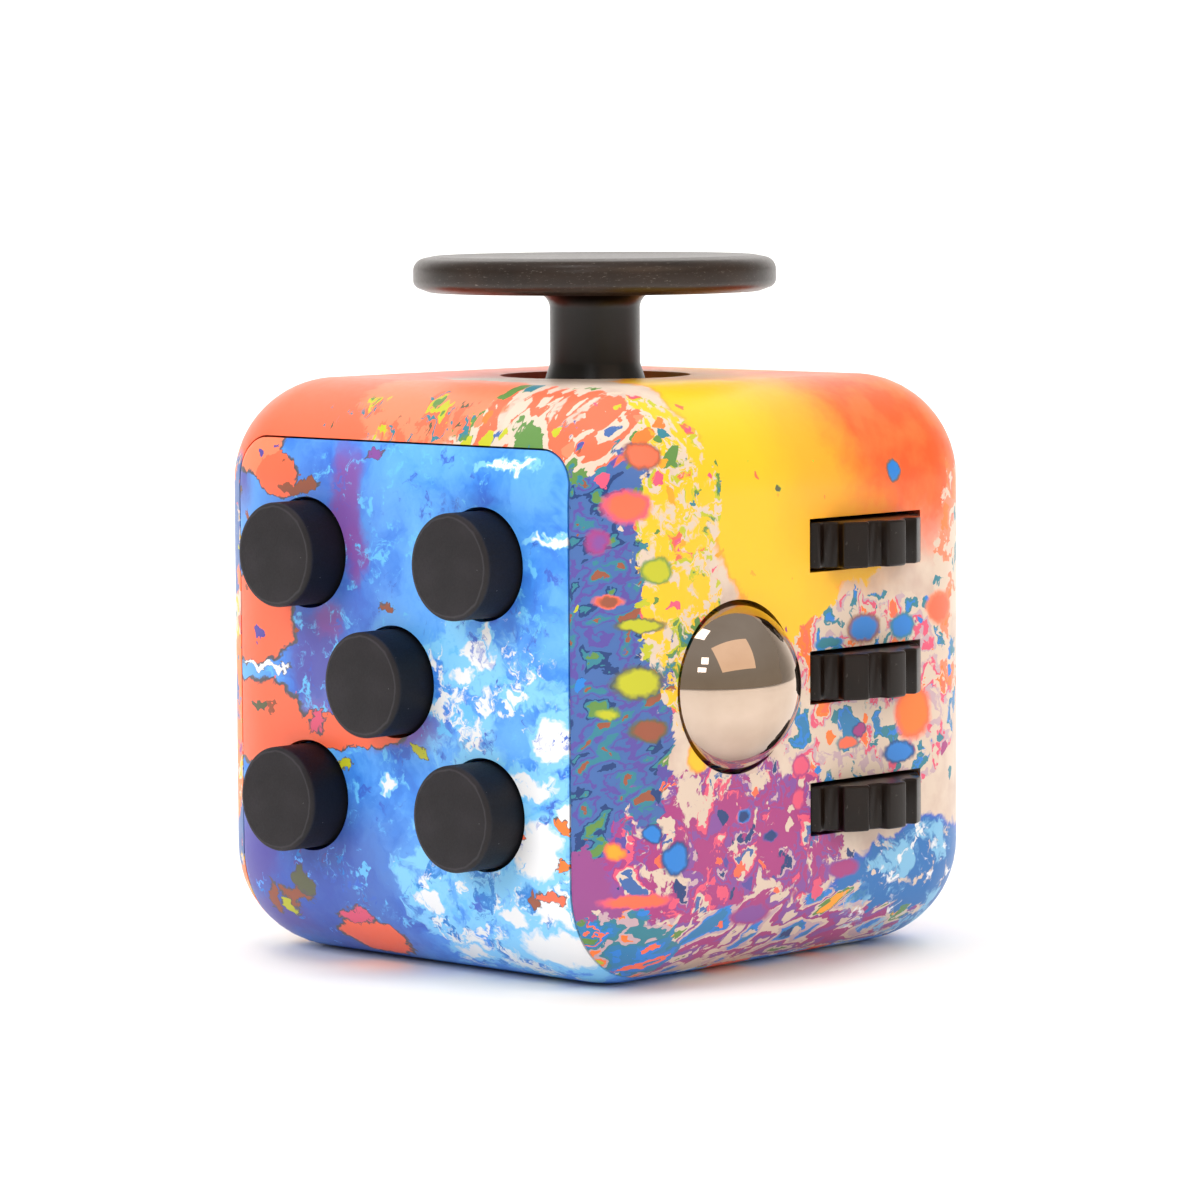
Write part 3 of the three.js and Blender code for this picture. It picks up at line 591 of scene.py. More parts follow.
def side_print():
    """Yellow, orange, magenta, cream and blue splashes, for the shell of the ball and gears."""
    made, n = material("splash_print_side")
    place = n.local()
    big = ragged(n, place, [(0.2, 2.4), (0.75, 1.6), (2.4, 0.7)])
    small = ragged(n, place, [(0.8, 1.3), (2.8, 0.5)])
    slanted = n.add("Mapping", {"Vector": place, "Rotation": (math.radians(-26), 0, 0)}).outputs["Vector"]
    streaky = ragged(n, n.vector("MULTIPLY", slanted, (1.0, 0.42, 1.1)), [(0.9, 0.8), (3.0, 0.4)])
    face = HALF

    tone = n.noise(place, 0.5, 4.0)
    colour = n.ramp(tone, [(0.35, srgb(204, 180, 166)), (0.6, srgb(218, 200, 184))])
    # the left side, out of sight: blue, orange and yellow in large ragged fields
    left = n.math("SUBTRACT", 1.0, zone(n, place, (face, 0, 0), (22, 60, 60), 0.15))
    colour = laid(
        n, colour,
        (wisps, big, left, 0.13, 0.58, STEEL_BLUE, 0.01),
        (wisps, n.shift(big, 31.0, 7.0, 0), left, 0.12, 0.5, ORANGE, 0.01),
        (wisps, n.shift(big, -17.0, 3.0, 9.0), left, 0.12, 0.46, YELLOW, 0.01),
        (marbled, small, left, 0.45, (TEAL, INDIGO, CREAM, YELLOW, CREAM, CORAL, MAGENTA, CREAM, AZURE),
         0.47),
        (flecks, small, left, 0.9, 0.3, 0.34, (CREAM, TEAL, AMBER, PINK, LIME, NAVY)),
    )

    # large fields, each (middle, half sizes, paint, rim)
    fields = (
        ((face, -16.0, 4.5), (8, 4.4, 13), STEEL_BLUE, TEAL),
        ((face, -16.0, -9.6), (8, 3.4, 5.6), srgb(148, 72, 138), PURPLE),
        ((face, -6.6, -9.4), (8, 8.4, 4.4), MAGENTA, PURPLE),
        ((face, 9.5, -14.2), (9, 8.5, 5.2), srgb(38, 112, 184), ROYAL),
        ((face - 3, -1.8, 11.4), (10, 7.4, 8.4), YELLOW, AMBER),
        ((face, -1.6, 4.6), (5, 3.6, 4.0), YELLOW, YELLOW),
        ((face, 3.6, 8.4), (5, 3.6, 3.2), YELLOW, YELLOW),
    )
    for middle, size, paint, rim in fields:
        colour = patch(n, colour, big, middle, size, paint, rim, 0.04, 0.05)
    colour = n.tint(colour, zone(n, big, (face - 3, 3.0, 12.0), (10, 5.5, 7), 0.5), 0.75, AMBER)
    colour = patch(n, colour, big, (-9, -13, 15.5), (8, 6, 5), CORAL, CORAL, 0.02, 0.1)
    colour = patch(n, colour, big, (0.5, -13, 15.5), (6.0, 4, 4), SALMON, SALMON, 0.02, 0.1)
    warm = n.mix(zone(n, big, (8, 4, 19), (12, 16, 8), 0.4), YELLOW, AMBER)
    top_back = zone(n, big, (3, 8, HALF + 1), (13, 11, 4.5), 0.06)
    colour = n.mix(top_back, colour, warm)
    # orange over the yellow, with a soft border
    orange = zone(n, big, (face - 3, 10.6, 13.6), (12, 8.0, 6.4), 0.3)
    colour = n.mix(orange, colour, n.ramp(tone, [(0.4, srgb(250, 92, 40)), (0.62, srgb(250, 112, 54))]))
    colour = n.mix(zone(n, big, (-8, 2, 18), (8, 12, 6), 0.3), colour, CORAL)

    # torn, many-coloured paint where the fields meet
    left_edge = zone(n, place, (face, -10.6, 7.5), (8, 3.4, 11.0), 0.3)
    strip = zone(n, place, (face, -15.4, 3.0), (9, 4.6, 14), 0.25)
    between = zone(n, place, (face, 5.6, -1.4), (6, 9.4, 6.2), 0.25)
    lower = zone(n, place, (face, -6.5, -9.0), (8, 11.0, 6.2), 0.3)
    bottom = zone(n, place, (face - 2, -3, -15.0), (9, 15, 3.8), 0.4)
    low_corner = zone(n, place, (face - 2, -14.0, -14.6), (7, 4.5, 3.2), 0.35)
    right_edge = zone(n, place, (face, 13.6, 4.5), (7, 3.8, 8.5), 0.4)
    corner = zone(n, place, (9.5, -14.5, 14.5), (7.5, 5.0, 4.5), 0.3)
    splatter = zone(n, place, (-1.0, -15.5, 14.5), (7.0, 4.0, 4.0), 0.4)
    sea = srgb(44, 124, 178)
    haze = srgb(196, 168, 178)
    colour = laid(
        n, colour,
        (marbled, streaky, strip, 0.75, (GREEN, TEAL, NAVY, STEEL_BLUE, STEEL_BLUE, INDIGO, STEEL_BLUE,
                                         TEAL, RUST), 0.66),
        (marbled, small, left_edge, 0.5, (TEAL, GREEN, LIME, CREAM, YELLOW, CREAM, LIME, CORAL, PINK),
         0.6),
        (wisps, n.shift(small, 0, 0, 17), left_edge, 0.45, 0.47, YELLOW, 0.02),
        (wisps, n.shift(small, 0, 23, 0), left_edge, 0.7, 0.43, CREAM, 0.03),
        (marbled, small, between, 0.5, (sea, AZURE, TEAL, CREAM, CREAM, haze, PINK, CREAM, ORANGE, CORAL),
         0.66),
        (marbled, small, lower, 0.52, (NAVY, haze, PURPLE, MAGENTA, PURPLE, MAGENTA, PINK, CREAM,
                                       STEEL_BLUE), 0.52),
        (wisps, n.shift(small, 0, 11, 5), lower, 0.5, 0.41, CREAM, 0.02),
        (marbled, streaky, bottom, 0.6, (sea, AZURE, haze, CREAM, MAGENTA, PURPLE, CREAM, GREEN, AMBER),
         0.6),
        (marbled, streaky, low_corner, 0.55, (GREEN, sea, CORAL, AZURE, sea, TEAL, haze, ORANGE, LIME),
         0.6),
        (marbled, small, right_edge, 0.5, (TEAL, CREAM, CREAM, SALMON, ORANGE, CORAL, CREAM), 0.54),
        (marbled, streaky, corner, 0.5, (TEAL, GREEN, CREAM, CORAL, CORAL, CREAM, STEEL_BLUE), 0.55),
        (flecks, streaky, corner, 1.0, 0.6, 0.42, (CORAL, SALMON, GREEN, LIME, CREAM, TEAL, ORANGE)),
        (marbled, streaky, splatter, 0.7, (GREEN, LIME, CORAL, TEAL, CORAL, CORAL, MOSS, SALMON), 0.5),
        (wisps, small, between, 0.62, 0.44, CREAM, 0.03),
        (flecks, streaky, strip, 0.9, 0.22, 0.4, (CORAL, LIME, RUST, PINK, AZURE, SALMON)),
        (flecks, small, left_edge, 1.0, 0.35, 0.36, (CORAL, TEAL, AMBER, GREEN, PINK, CREAM)),
        (flecks, small, between, 1.0, 0.35, 0.36, (CREAM, TEAL, AZURE, ORANGE, MAGENTA, CREAM)),
        (flecks, small, lower, 1.0, 0.35, 0.38, (CREAM, CREAM, NAVY, PINK, INDIGO, CORAL)),
    )
    yellow_part = zone(n, place, (face, -1.5, 7.0), (6, 5.0, 6.0), 0.3)
    colour = flecks(n, colour, small, yellow_part, 1.1, 0.14, 0.22, (ORANGE, LIME, AMBER, CORAL))

    # single drops, each (y, z, half width, half height, paint, rim)
    drops = (
        (7.1, 11.3, 0.62, 0.55, AZURE, MOSS), (-11.3, -9.0, 0.95, 0.85, AZURE, NAVY),
        (-12.7, -7.5, 0.6, 0.5, AZURE, NAVY), (-14.6, -8.4, 0.5, 0.6, AMBER, CORAL),
        (-13.6, -11.2, 2.0, 0.4, CORAL, PINK), (-13.3, 3.8, 1.3, 0.35, LIME, MOSS),
        (-13.5, 0.7, 1.3, 0.9, LIME, MOSS), (-12.4, 6.8, 0.9, 0.7, LIME, GREEN),
        (-14.0, 10.3, 1.2, 0.9, CORAL, PINK), (-12.8, 13.0, 1.0, 0.7, CORAL, RUST),
        (-14.9, -0.9, 0.6, 0.4, LIME, GREEN), (-2.8, 10.8, 0.25, 0.2, MOSS, LIME),
        (8.7, -2.6, 1.5, 1.5, ORANGE, CORAL), (4.4, 2.5, 1.3, 0.8, AZURE, RUST),
        (7.8, 2.4, 1.0, 0.7, AZURE, TEAL), (7.5, -4.8, 1.3, 0.6, AZURE, NAVY),
        (3.0, -3.9, 0.9, 0.4, CORAL, TEAL), (4.0, -3.2, 0.6, 0.4, MAGENTA, NAVY),
        (1.4, 1.9, 1.1, 0.3, TEAL, AZURE), (-9.6, -3.6, 0.8, 0.8, YELLOW, AMBER),
        (11.2, 3.2, 1.2, 0.9, CORAL, SALMON), (-1.0, -4.8, 0.7, 0.6, PINK, MAGENTA),
        (-1.2, -6.7, 0.5, 0.6, PINK, MAGENTA), (-3.6, -8.5, 0.6, 0.3, NAVY, INDIGO),
        (-5.8, -7.2, 0.5, 0.4, NAVY, AZURE), (2.6, -11.0, 1.3, 0.5, MAGENTA, PURPLE),
        (-4.8, -12.8, 1.6, 0.6, PURPLE, MAGENTA), (-14.8, 5.2, 0.7, 0.4, RUST, CORAL),
        (-12.9, -1.9, 1.0, 0.6, RUST, MOSS), (-15.2, 8.4, 0.5, 0.9, PURPLE, MAGENTA),
    )
    gentle = ragged(n, place, [(0.7, 0.5), (2.6, 0.35)])
    for y, z, width, height, paint, rim in drops:
        colour = patch(n, colour, gentle, (face, y, z), (3, width, height), paint, rim, 0.2, 0.26)
    blue_corner = zone(n, place, (face, 9.5, -13.0), (8, 7.5, 5.0), 0.3)
    colour = laid(
        n, colour,
        (wisps, n.shift(small, 0, 5, 29), blue_corner, 0.5, 0.40, CREAM, 0.03),
        (wisps, small, blue_corner, 0.4, 0.45, srgb(126, 188, 226), 0.04),
        (wisps, small, blue_corner, 0.46, 0.38, WHITE, 0.03),
    )
    print_shader(n, colour, place)
    return made


# ---- plain materials ----
def rubber():
    """Charcoal rubber buttons, their sides painted a darker, bluer black as shade, and a paler ring round
    the rim of the flat end that is partly wear and partly a painted highlight.
    """
    made, n = material("button_rubber")
    place = n.local()
    grain = n.noise(place, 9.0, 3.0)
    cloud = n.noise(place, 0.5, 3.0)
    height = n.add("SeparateXYZ", {"Vector": place}).outputs["Z"]
    radius = n.about_axis(place)
    # the paler rim ring is partly wear and partly a painted highlight along the edge of the flat end
    rim_wear_and_highlight_radius = n.math("MULTIPLY_ADD", n.noise(place, 1.4, 4.0), 0.22, radius)
    rim = n.math("MULTIPLY", n.step(rim_wear_and_highlight_radius, 2.78, 0.04),
                 n.math("SUBTRACT", 1.0, n.step(rim_wear_and_highlight_radius, 2.88, 0.04)))
    on_top = n.step(height, 2.35, 0.1)
    # painted shade: the cap's side is painted a darker, bluer black than its flat end
    colour = n.mix(on_top, srgb(7, 7, 16),
                   n.ramp(cloud, [(0.35, srgb(33, 31, 34)), (0.65, srgb(40, 37, 41))]))
    colour = n.mix(n.math("MULTIPLY", n.math("MULTIPLY", rim, on_top), 0.45), colour, srgb(70, 67, 72))
    specks = n.add("TexVoronoi", {"Vector": place, "Scale": 1.1}).outputs
    speck = n.math("LESS_THAN", specks["Distance"], 0.045)
    colour = n.tint(colour, speck, 0.5, srgb(120, 118, 120))
    n.shader(height=grain, bump=0.25, bump_scale=0.03, Base_Color=colour,
             Roughness=n.math("MULTIPLY_ADD", grain, 0.2, 0.55), Specular_IOR_Level=0.35)
    return made


def moulding(name, dark, light, roughness, grain_size=6.0, relief=0.18, specular=0.5):
    """Moulded plastic: two close tones in soft clouds, a fine grain and faint scratches."""
    made, n = material(name)
    place = n.local()
    cloud = n.noise(place, 0.35, 4.0)
    grain = n.noise(place, grain_size, 3.0)
    scratches = n.noise(n.vector("MULTIPLY", place, (9.0, 0.6, 2.0)), 1.2, 5.0, 0.7)
    scuff = n.step(scratches, 0.66, 0.03)
    colour = n.ramp(cloud, [(0.35, dark), (0.65, light)])
    colour = n.tint(colour, scuff, 0.12, srgb(150, 144, 138))
    rough = n.math("MULTIPLY_ADD", grain, 0.14, n.math("MULTIPLY_ADD", scuff, 0.12, roughness))
    n.shader(height=grain, bump=relief, bump_scale=0.02, Base_Color=colour, Roughness=rough,
             Specular_IOR_Level=specular)
    return made


def worn_joystick():
    """Brown-black plastic with pale scuffs along the disc's rim."""
    made, n = material("joystick_plastic")
    place = n.local()
    height = n.add("SeparateXYZ", {"Vector": place}).outputs["Z"]
    grain = n.noise(place, 5.0, 4.0)
    cloud = n.noise(place, 0.4, 4.0)
    colour = n.ramp(cloud, [(0.3, srgb(28, 20, 15)), (0.7, srgb(44, 32, 25))])
    radius = n.about_axis(place)
    colour = n.mix(n.step(radius, 4.0, 1.5), srgb(12, 7, 5), colour)
    rim = n.math("MULTIPLY", n.step(radius, 9.3, 0.5), n.step(height, 5.6, 0.4))
    stretched = n.vector("MULTIPLY", place, (1.0, 1.0, 4.0))
    scratches = n.noise(stretched, 3.4, 5.0, 0.72)
    scuff = n.math("MULTIPLY", rim, n.step(scratches, 0.64, 0.05))
    colour = n.tint(colour, scuff, 0.3, srgb(168, 160, 152))
    rough = n.math("MULTIPLY_ADD", grain, 0.16, n.math("MULTIPLY_ADD", scuff, 0.2, 0.26))
    n.shader(height=n.math("MULTIPLY_ADD", scuff, 0.3, grain), bump=0.1, bump_scale=0.02,
             Base_Color=colour, Roughness=rough)
    return made


def metal(name, dark, light, roughness, spread, grain=(1.0, 1.0, 1.0), relief=0.05):
    """Bare or plated metal with a fine grain; spread is how much its roughness varies."""
    made, n = material(name)
    place = n.vector("MULTIPLY", n.local(), grain)
    fine = n.noise(place, 7.0, 4.0)
    smear = n.noise(n.local(), 0.5, 3.0)
    colour = n.ramp(smear, [(0.3, dark), (0.7, light)])
    n.shader(height=fine, bump=relief, bump_scale=0.01, Base_Color=colour, Metallic=1.0,
             Roughness=n.math("MULTIPLY_ADD", fine, spread, roughness))
    return made


FRONT_PRINT = front_print()
SIDE_PRINT = side_print()
RUBBER = rubber()
GEAR_PLASTIC = moulding("gear_plastic", srgb(14, 7, 4), srgb(24, 14, 9), 0.24, relief=0.1, specular=0.3)
JOYSTICK_PLASTIC = worn_joystick()
ROCKER_PLASTIC = moulding("rocker_plastic", srgb(22, 20, 21), srgb(32, 29, 30), 0.4)
DIAL_PLASTIC = moulding("dial_plastic", srgb(22, 19, 19), srgb(32, 28, 27), 0.38)
INNER_PLASTIC = moulding("inner_plastic", srgb(96, 100, 106), srgb(118, 122, 128), 0.5)
SILICONE = moulding("silicone", srgb(196, 190, 176), srgb(212, 206, 192), 0.6, 3.0)
# the warm tint of the ball's chrome colour is a painted reflection of the warm room it mirrors
CHROME = metal("ball_chrome", srgb(192, 172, 155), srgb(202, 183, 167), 0.015, 0.02, relief=0.01)
SPRING_STEEL = metal("spring_steel", srgb(158, 160, 164), srgb(178, 180, 184), 0.22, 0.15,
                     (1.0, 1.0, 6.0))
SCREW_STEEL = metal("screw_steel", srgb(148, 150, 152), srgb(170, 172, 172), 0.3, 0.2, relief=0.1)
CARRIED = {"inner_plastic": INNER_PLASTIC, "spring_steel": SPRING_STEEL, "screw_steel": SCREW_STEEL,
           "silicone": SILICONE}


# ---- the two shells ----
def seam_tunnel(clearance):
    """The tunnel along y that the front, bottom and back walls fill, widened by clearance."""
    half, top = SEAM_SIDE + clearance, SEAM_TOP + clearance
    radius = SEAM_CORNER_RADIUS + clearance
    outline = rounded([(-half, -3 * HALF, 0), (half, -3 * HALF, 0),
                       (half, top, radius), (-half, top, radius)], 10)
    return placed(prism(outline, -2 * HALF, 2 * HALF), outward=-Y, up=Z)


def round_hole(radius, centre, outward):
    """A rod through the wall on the outward side."""
    return placed(prism(circle(radius, 72), INNER - 2, HALF + 3), centre, outward)


def hollow_cube(name):
    shell = to_object(name, rounded_cube(HALF, EDGE_RADIUS, 14))
    return carve(shell, rounded_cube(INNER, EDGE_RADIUS - WALL, 8))


def make_front_shell():
    """Front, bottom and back walls, with button holes, the dial's hole and the thumb dent."""
    shell = hollow_cube("front_bottom_back_shell")
    carve(shell, seam_tunnel(-SEAM_WIDTH / 2), "INTERSECT")
    for place in BUTTONS:
        middle = middle_of(f"button_{place}")
        carve(shell, round_hole(BUTTON_RADIUS + HOLE_GAP, (middle.x, 0, middle.z), -Y))
    carve(shell, round_hole(DIAL_HOLE, (0, 0, 0), Y))
    # the floor is thickened first, so that the dent leaves a whole wall under it
    swell = to_object("swell", placed(globe(1, DENT_SWELL, 5), (0, 0, -HALF)))
    square = [(x * HALF, y * HALF) for x, y in CORNERS]
    carve(swell, prism(square, -INNER - 1, 0), "INTERSECT")
    bm = bmesh.new()
    bm.from_mesh(swell.data)
    bpy.data.objects.remove(swell)
    carve(shell, bm, "UNION")
    carve(shell, placed(globe(1, DENT, 6), (0, 0, -HALF)))
    soften(shell, SHELL_ROUNDING)
    finish_piece(shell, FRONT_PRINT, "cube", "shell_front_bottom_back")


def make_side_shell():
    """Left, top and right walls, with the openings for ball, gears, joystick and rocker."""
    shell = hollow_cube("left_top_right_shell")
    carve(shell, seam_tunnel(SEAM_WIDTH / 2))
    carve(shell, placed(globe(BALL_RADIUS + HOLE_GAP, subdivisions=6), middle_of("roll_ball")))
    carve(shell, round_hole(JOYSTICK_HOLE, (0, 0, 0), Z))
    for level in GEARS:
        half = GEAR_SLOT_HALF_HEIGHT
        slot = lathe([(0, -half), (GEAR_SLOT_RADIUS, -half), (GEAR_SLOT_RADIUS, half), (0, half)], 160)
        carve(shell, placed(slot, middle_of(f"gear_{level}")))
    window = rounded([(x * WINDOW_HALF_WIDTH, z * WINDOW_HALF_HEIGHT, WINDOW_CORNER)
                      for x, z in CORNERS], 6)
    carve(shell, placed(prism(window, INNER - 2, HALF + 3), outward=-X, up=Z))
    soften(shell, SHELL_ROUNDING)
    finish_piece(shell, SIDE_PRINT, "cube", "shell_left_top_right")


# ---- what moves: profiles are (radius, height, rounding) corners ----
def make_button(place):
    """A cap with a rounded rim, its flange behind the wall and the nib that presses the dome."""
    node = f"button_{place}"
    outer, inner = (-value - HALF for value in span_of(node, 1))
    nib, flange = inner + 0.8, inner + 1.6
    corners = [(0, inner, 0), (1.2, inner, 0.1), (1.2, nib, 0.1), (BUTTON_FLANGE, nib, 0.15),
               (BUTTON_FLANGE, flange, 0.15), (BUTTON_RADIUS, flange, 0.1),
               (BUTTON_RADIUS, outer, 0.26), (0, outer, 0)]
    button = to_object(f"push_button_{place}", lathe(rounded(corners, 5), 96))
    middle = middle_of(node)
    finish_piece(button, RUBBER, f"{node}_body", node,
                 (middle.x, -HALF, middle.z), -Y, Z, 50)


def make_dome(place, kind, foot, crown, finish):
    """The thin dome under a button."""
    node = f"{kind}_dome_{place}"
    front, back = span_of(node, 1)
    height = back - front
    corners = [(foot - 0.5, 0, 0), (foot, 0, 0.1), (foot * 0.8, height * 0.6, 0.6),
               (crown, height, 0.4), (0, height, 0), (0, height - 0.35, 0),
               (crown - 0.2, height - 0.35, 0.3), (foot * 0.8 - 0.4, height * 0.3, 0.4)]
    loop = rounded(corners, 6)
    dome = to_object(f"{kind}_press_dome_{place}", lathe(loop + loop[:1], 64))
    middle = middle_of(node)
    finish_piece(dome, finish, "cube", node, (middle.x, back, middle.z), -Y, Z, 60)
    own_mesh(dome)


def make_spring(node, name, radius, axis, gap):
    """A coil along the given axis, from the start of its CAD node to gap short of its end."""
    index = list(axis).index(1)
    start, end = span_of(node, index)
    spring = to_object(name, coil(radius, end - start - gap, 4, 0.5))
    foot = middle_of(node)
    foot[index] = start
    finish_piece(spring, SPRING_STEEL, "cube", node, foot, axis, sharp=60)
    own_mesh(spring)


def make_gear(level):
    """A wheel with low square teeth, each a little rounded."""
    node = f"gear_{level}"
    crest = GEAR_TIP + 0.02
    outline = []
    for tooth in range(GEAR_TEETH):
        for turn, radius in ((-0.34, GEAR_ROOT), (-0.27, GEAR_TIP), (-0.09, crest), (0.09, crest),
                             (0.27, GEAR_TIP), (0.34, GEAR_ROOT), (0.5, GEAR_ROOT - 0.02)):
            angle = 2 * math.pi * (tooth + turn) / GEAR_TEETH
            outline.append((radius * math.cos(angle), radius * math.sin(angle)))
    gear = to_object(f"thumb_gear_{level}", prism(outline, -GEAR_HALF_WIDTH, GEAR_HALF_WIDTH))
    carve(gear, prism(circle(BORE_RADIUS, 48), -2, 2))
    soften(gear, 0.14, 3, 20)
    finish_piece(gear, GEAR_PLASTIC, f"{node}_body", node, middle_of(node), sharp=50)


def make_ball():
    ball = to_object("steel_ball", globe(BALL_RADIUS, subdivisions=6))
    finish_piece(ball, CHROME, "ball_body", "roll_ball", middle_of("roll_ball"), sharp=180)


def make_joystick():
    """Disc, stem and foot turned in one, with the two pins that carry it in the gimbal ring."""
    foot, top = span_of("joystick", 2)
    pivot = middle_of("gimbal_ring").z
    under = top - 2.1
    corners = [(0, foot, 0), (JOYSTICK_STEM, foot, 0.3), (JOYSTICK_STEM, HALF - 2.0, 0),
               (2.95, HALF - 0.4, 0.4), (JOYSTICK_STEM, HALF + 0.7, 0.8),
               (JOYSTICK_STEM, under - 0.05, 0.9), (9.55, under + 0.02, 0),
               (JOYSTICK_DISC, under + 0.35, 0.5), (JOYSTICK_DISC, top - 0.25, 0.75),
               (9.2, top, 1.2), (7.6, top - 0.12, 2.0), (0, top - 0.4, 0)]
    profile = [Vector((p.x, p.y - pivot)) for p in rounded(corners, 7)]
    stick = to_object("thumb_joystick", lathe(profile, 160))
    carve(stick, placed(prism(circle(GIMBAL_PIN, 32), -4.2, 4.2), outward=X), "UNION")
    finish_piece(stick, JOYSTICK_PLASTIC, "joystick_body", "joystick",
                 (0, 0, pivot), sharp=50)


def make_gimbal_ring():
    """A ring bored for the joystick's pins, with its own two pins crosswise to them."""
    low, high = span_of("gimbal_ring", 2)
    half = (high - low) / 2
    loop = rounded([(GIMBAL_INNER, -half, 0.25), (GIMBAL_OUTER, -half, 0.25),
                    (GIMBAL_OUTER, half, 0.25), (GIMBAL_INNER, half, 0.25)], 4)
    ring = to_object("joystick_gimbal", lathe(loop + loop[:1], 96))
    carve(ring, placed(prism(circle(1.05, 32), -8, 8), outward=X))
    carve(ring, placed(prism(circle(GIMBAL_PIN, 32), -7.3, 7.3), outward=Y), "UNION")
    carve(ring, lathe([(0, -2), (GIMBAL_INNER - 0.01, -2), (GIMBAL_INNER - 0.01, 2), (0, 2)], 96))
    finish_piece(ring, INNER_PLASTIC, "gimbal_body", "gimbal_ring",
                 middle_of("gimbal_ring"))


def make_rocker():
    """A two-ended rocker, raised at its upper end, with arcs about its pivot at both ends."""
    tilt = math.radians(ROCKER_TILT)
    wing, shoulder = math.asin(1 / ROCKER_REACH), 0.68
    arc = [wing + (shoulder - wing) * k / 10 for k in range(11)]
    right = [(ROCKER_REACH * math.cos(a), ROCKER_REACH * math.sin(a)) for a in arc]
    across = (4.2, 3.2, 2.2, 1.1, 0, -1.1, -2.2, -3.2, -4.2)
    dip = [(x, 3.4 + 0.78 * (abs(x) / 5.17) ** 1.6) for x in across]
    left = [(-x, y) for x, y in reversed(right)]
    outline = [(0, -2), (2.2, -1.5), (2.4, 0.6)] + right + dip + left + [(-2.4, 0.6), (-2.2, -1.5)]
    turned = [(x * math.cos(tilt) - y * math.sin(tilt), x * math.sin(tilt) + y * math.cos(tilt))
              for x, y in outline]
    rocker = to_object("rocker_switch", prism(turned, -ROCKER_HALF_WIDTH, ROCKER_HALF_WIDTH))
    carve(rocker, prism(circle(BORE_RADIUS, 32), -5, 5))
    soften(rocker, 0.3, 4, 24)
    finish_piece(rocker, ROCKER_PLASTIC, "rocker_body", "rocker",
                 middle_of("rocker_pin"), -Y, -X, 50)


def make_dial():
    """A flat disc with a rolled rim and a fingertip dimple near its edge, on a hub through the wall."""
    inner, outer = (value - HALF for value in span_of("spin_dial", 1))
    corners = [(0, inner, 0), (DIAL_HUB, inner, 0.2), (DIAL_HUB, 0.3, 0), (DIAL_RIM, 0.3, 0.2),
               (DIAL_RIM + 0.1, 1.2, 0.3), (8.45, outer, 0.7), (7.3, outer, 0.3),
               (7.0, outer - 0.18, 0.3), (0, outer - 0.12, 0)]
    dial = to_object("spin_dial_disc", lathe(rounded(corners, 6), 144))
    sphere = (DIMPLE_RADIUS ** 2 + DIMPLE_DEPTH ** 2) / (2 * DIMPLE_DEPTH)
    carve(dial, placed(globe(sphere, subdivisions=6), (0, DIMPLE_PLACE, outer - DIMPLE_DEPTH + sphere)))
    soften(dial, 0.18, 3, 18)
    finish_piece(dial, DIAL_PLASTIC, "dial_body", "spin_dial", (0, HALF, 0), Y, Z, 50)


make_front_shell()
make_side_shell()
for button_place in BUTTONS:
    make_button(button_place)
for gear_level in GEARS:
    make_gear(gear_level)
for dome_place in ("top_left", "centre", "bottom_right"):
    make_dome(dome_place, "click", 2.4, 1.4, SPRING_STEEL)
for dome_place in ("top_right", "bottom_left"):
    make_dome(dome_place, "silicone", 2.2, 1.2, SILICONE)
make_spring("ball_spring", "ball_coil", 2.0, X, 0)
make_spring("joystick_spring", "joystick_coil", 1.9, Z, 0.15)
make_ball()
make_joystick()
make_gimbal_ring()
make_rocker()
make_dial()

# The pieces inside keep their CAD shape and get their own finish.
slot_of = {part["node"]: part["material_slot"] for part in frame["record"]["subparts"]}
for node_name, thing in frame["nodes"].items():
    if slot_of[node_name] in CARRIED:
        thing.data.materials.clear()
        thing.data.materials.append(CARRIED[slot_of[node_name]])


# ---- stage, light and camera: metres, about the frame's origin ----
AZIMUTH, ELEVATION, DISTANCE = math.radians(43.24), math.radians(5.62), 0.30565
ROLL = math.radians(-0.34)
AIM_HEIGHT, AIM_SIDE = 0.00346, 0.0002  # where the camera aims, from the middle of the cube
LENS, SENSOR = 158.28, 36
FLOOR_GAP = 0.00002  # keeps the floor's face off the cube's
LAMP_REACH = 0.6  # from the ball to the lamps that it mirrors


def add_stage():
    """A pale floor that curves up behind the object, seen from the camera's side."""
    made, n = material("pale_floor")
    place = n.local()
    tone = n.noise(place, 0.01, 3.0)
    colour = n.ramp(tone, [(0.3, srgb(238, 237, 236)), (0.7, srgb(244, 243, 242))])
    n.shader(height=n.noise(place, 0.6, 3.0), bump=0.05, bump_scale=0.2, Base_Color=colour,
             Roughness=0.7)
    bm = bmesh.new()
    far, radius, rise, near, width = 0.75, 0.35, 1.2, -5.0, 5.0
    line = [(near, 0.0), (far, 0.0)]
    for k in range(1, 25):
        angle = math.pi * k / 48
        line.append((far + radius * math.sin(angle), radius - radius * math.cos(angle)))
    line.append((far + radius, rise))
    rows = [[bm.verts.new((side * width, y, z)) for side in (-1, 1)] for y, z in line]
    for low, high in zip(rows, rows[1:]):
        face = bm.faces.new((low[0], low[1], high[1], high[0]))
        face.smooth = True
    floor = to_object("floor", bm)
    floor.data.materials.append(made)
    floor.location.z = -FLOOR_GAP
    floor.rotation_euler.z = AZIMUTH


def add_lamp(name, place, size, power, colour=(1, 1, 1), aim=(0, 0, 0.018)):
    data = bpy.data.lights.new(name, "AREA")
    data.shape = "RECTANGLE"
    data.size, data.size_y = size
    data.energy = power
    data.color = colour
    lamp = bpy.data.objects.new(name, data)
    lamp.location = place
    lamp.rotation_euler = (Vector(aim) - Vector(place)).to_track_quat("-Z", "Y").to_euler()
    bpy.context.scene.collection.objects.link(lamp)
    return lamp


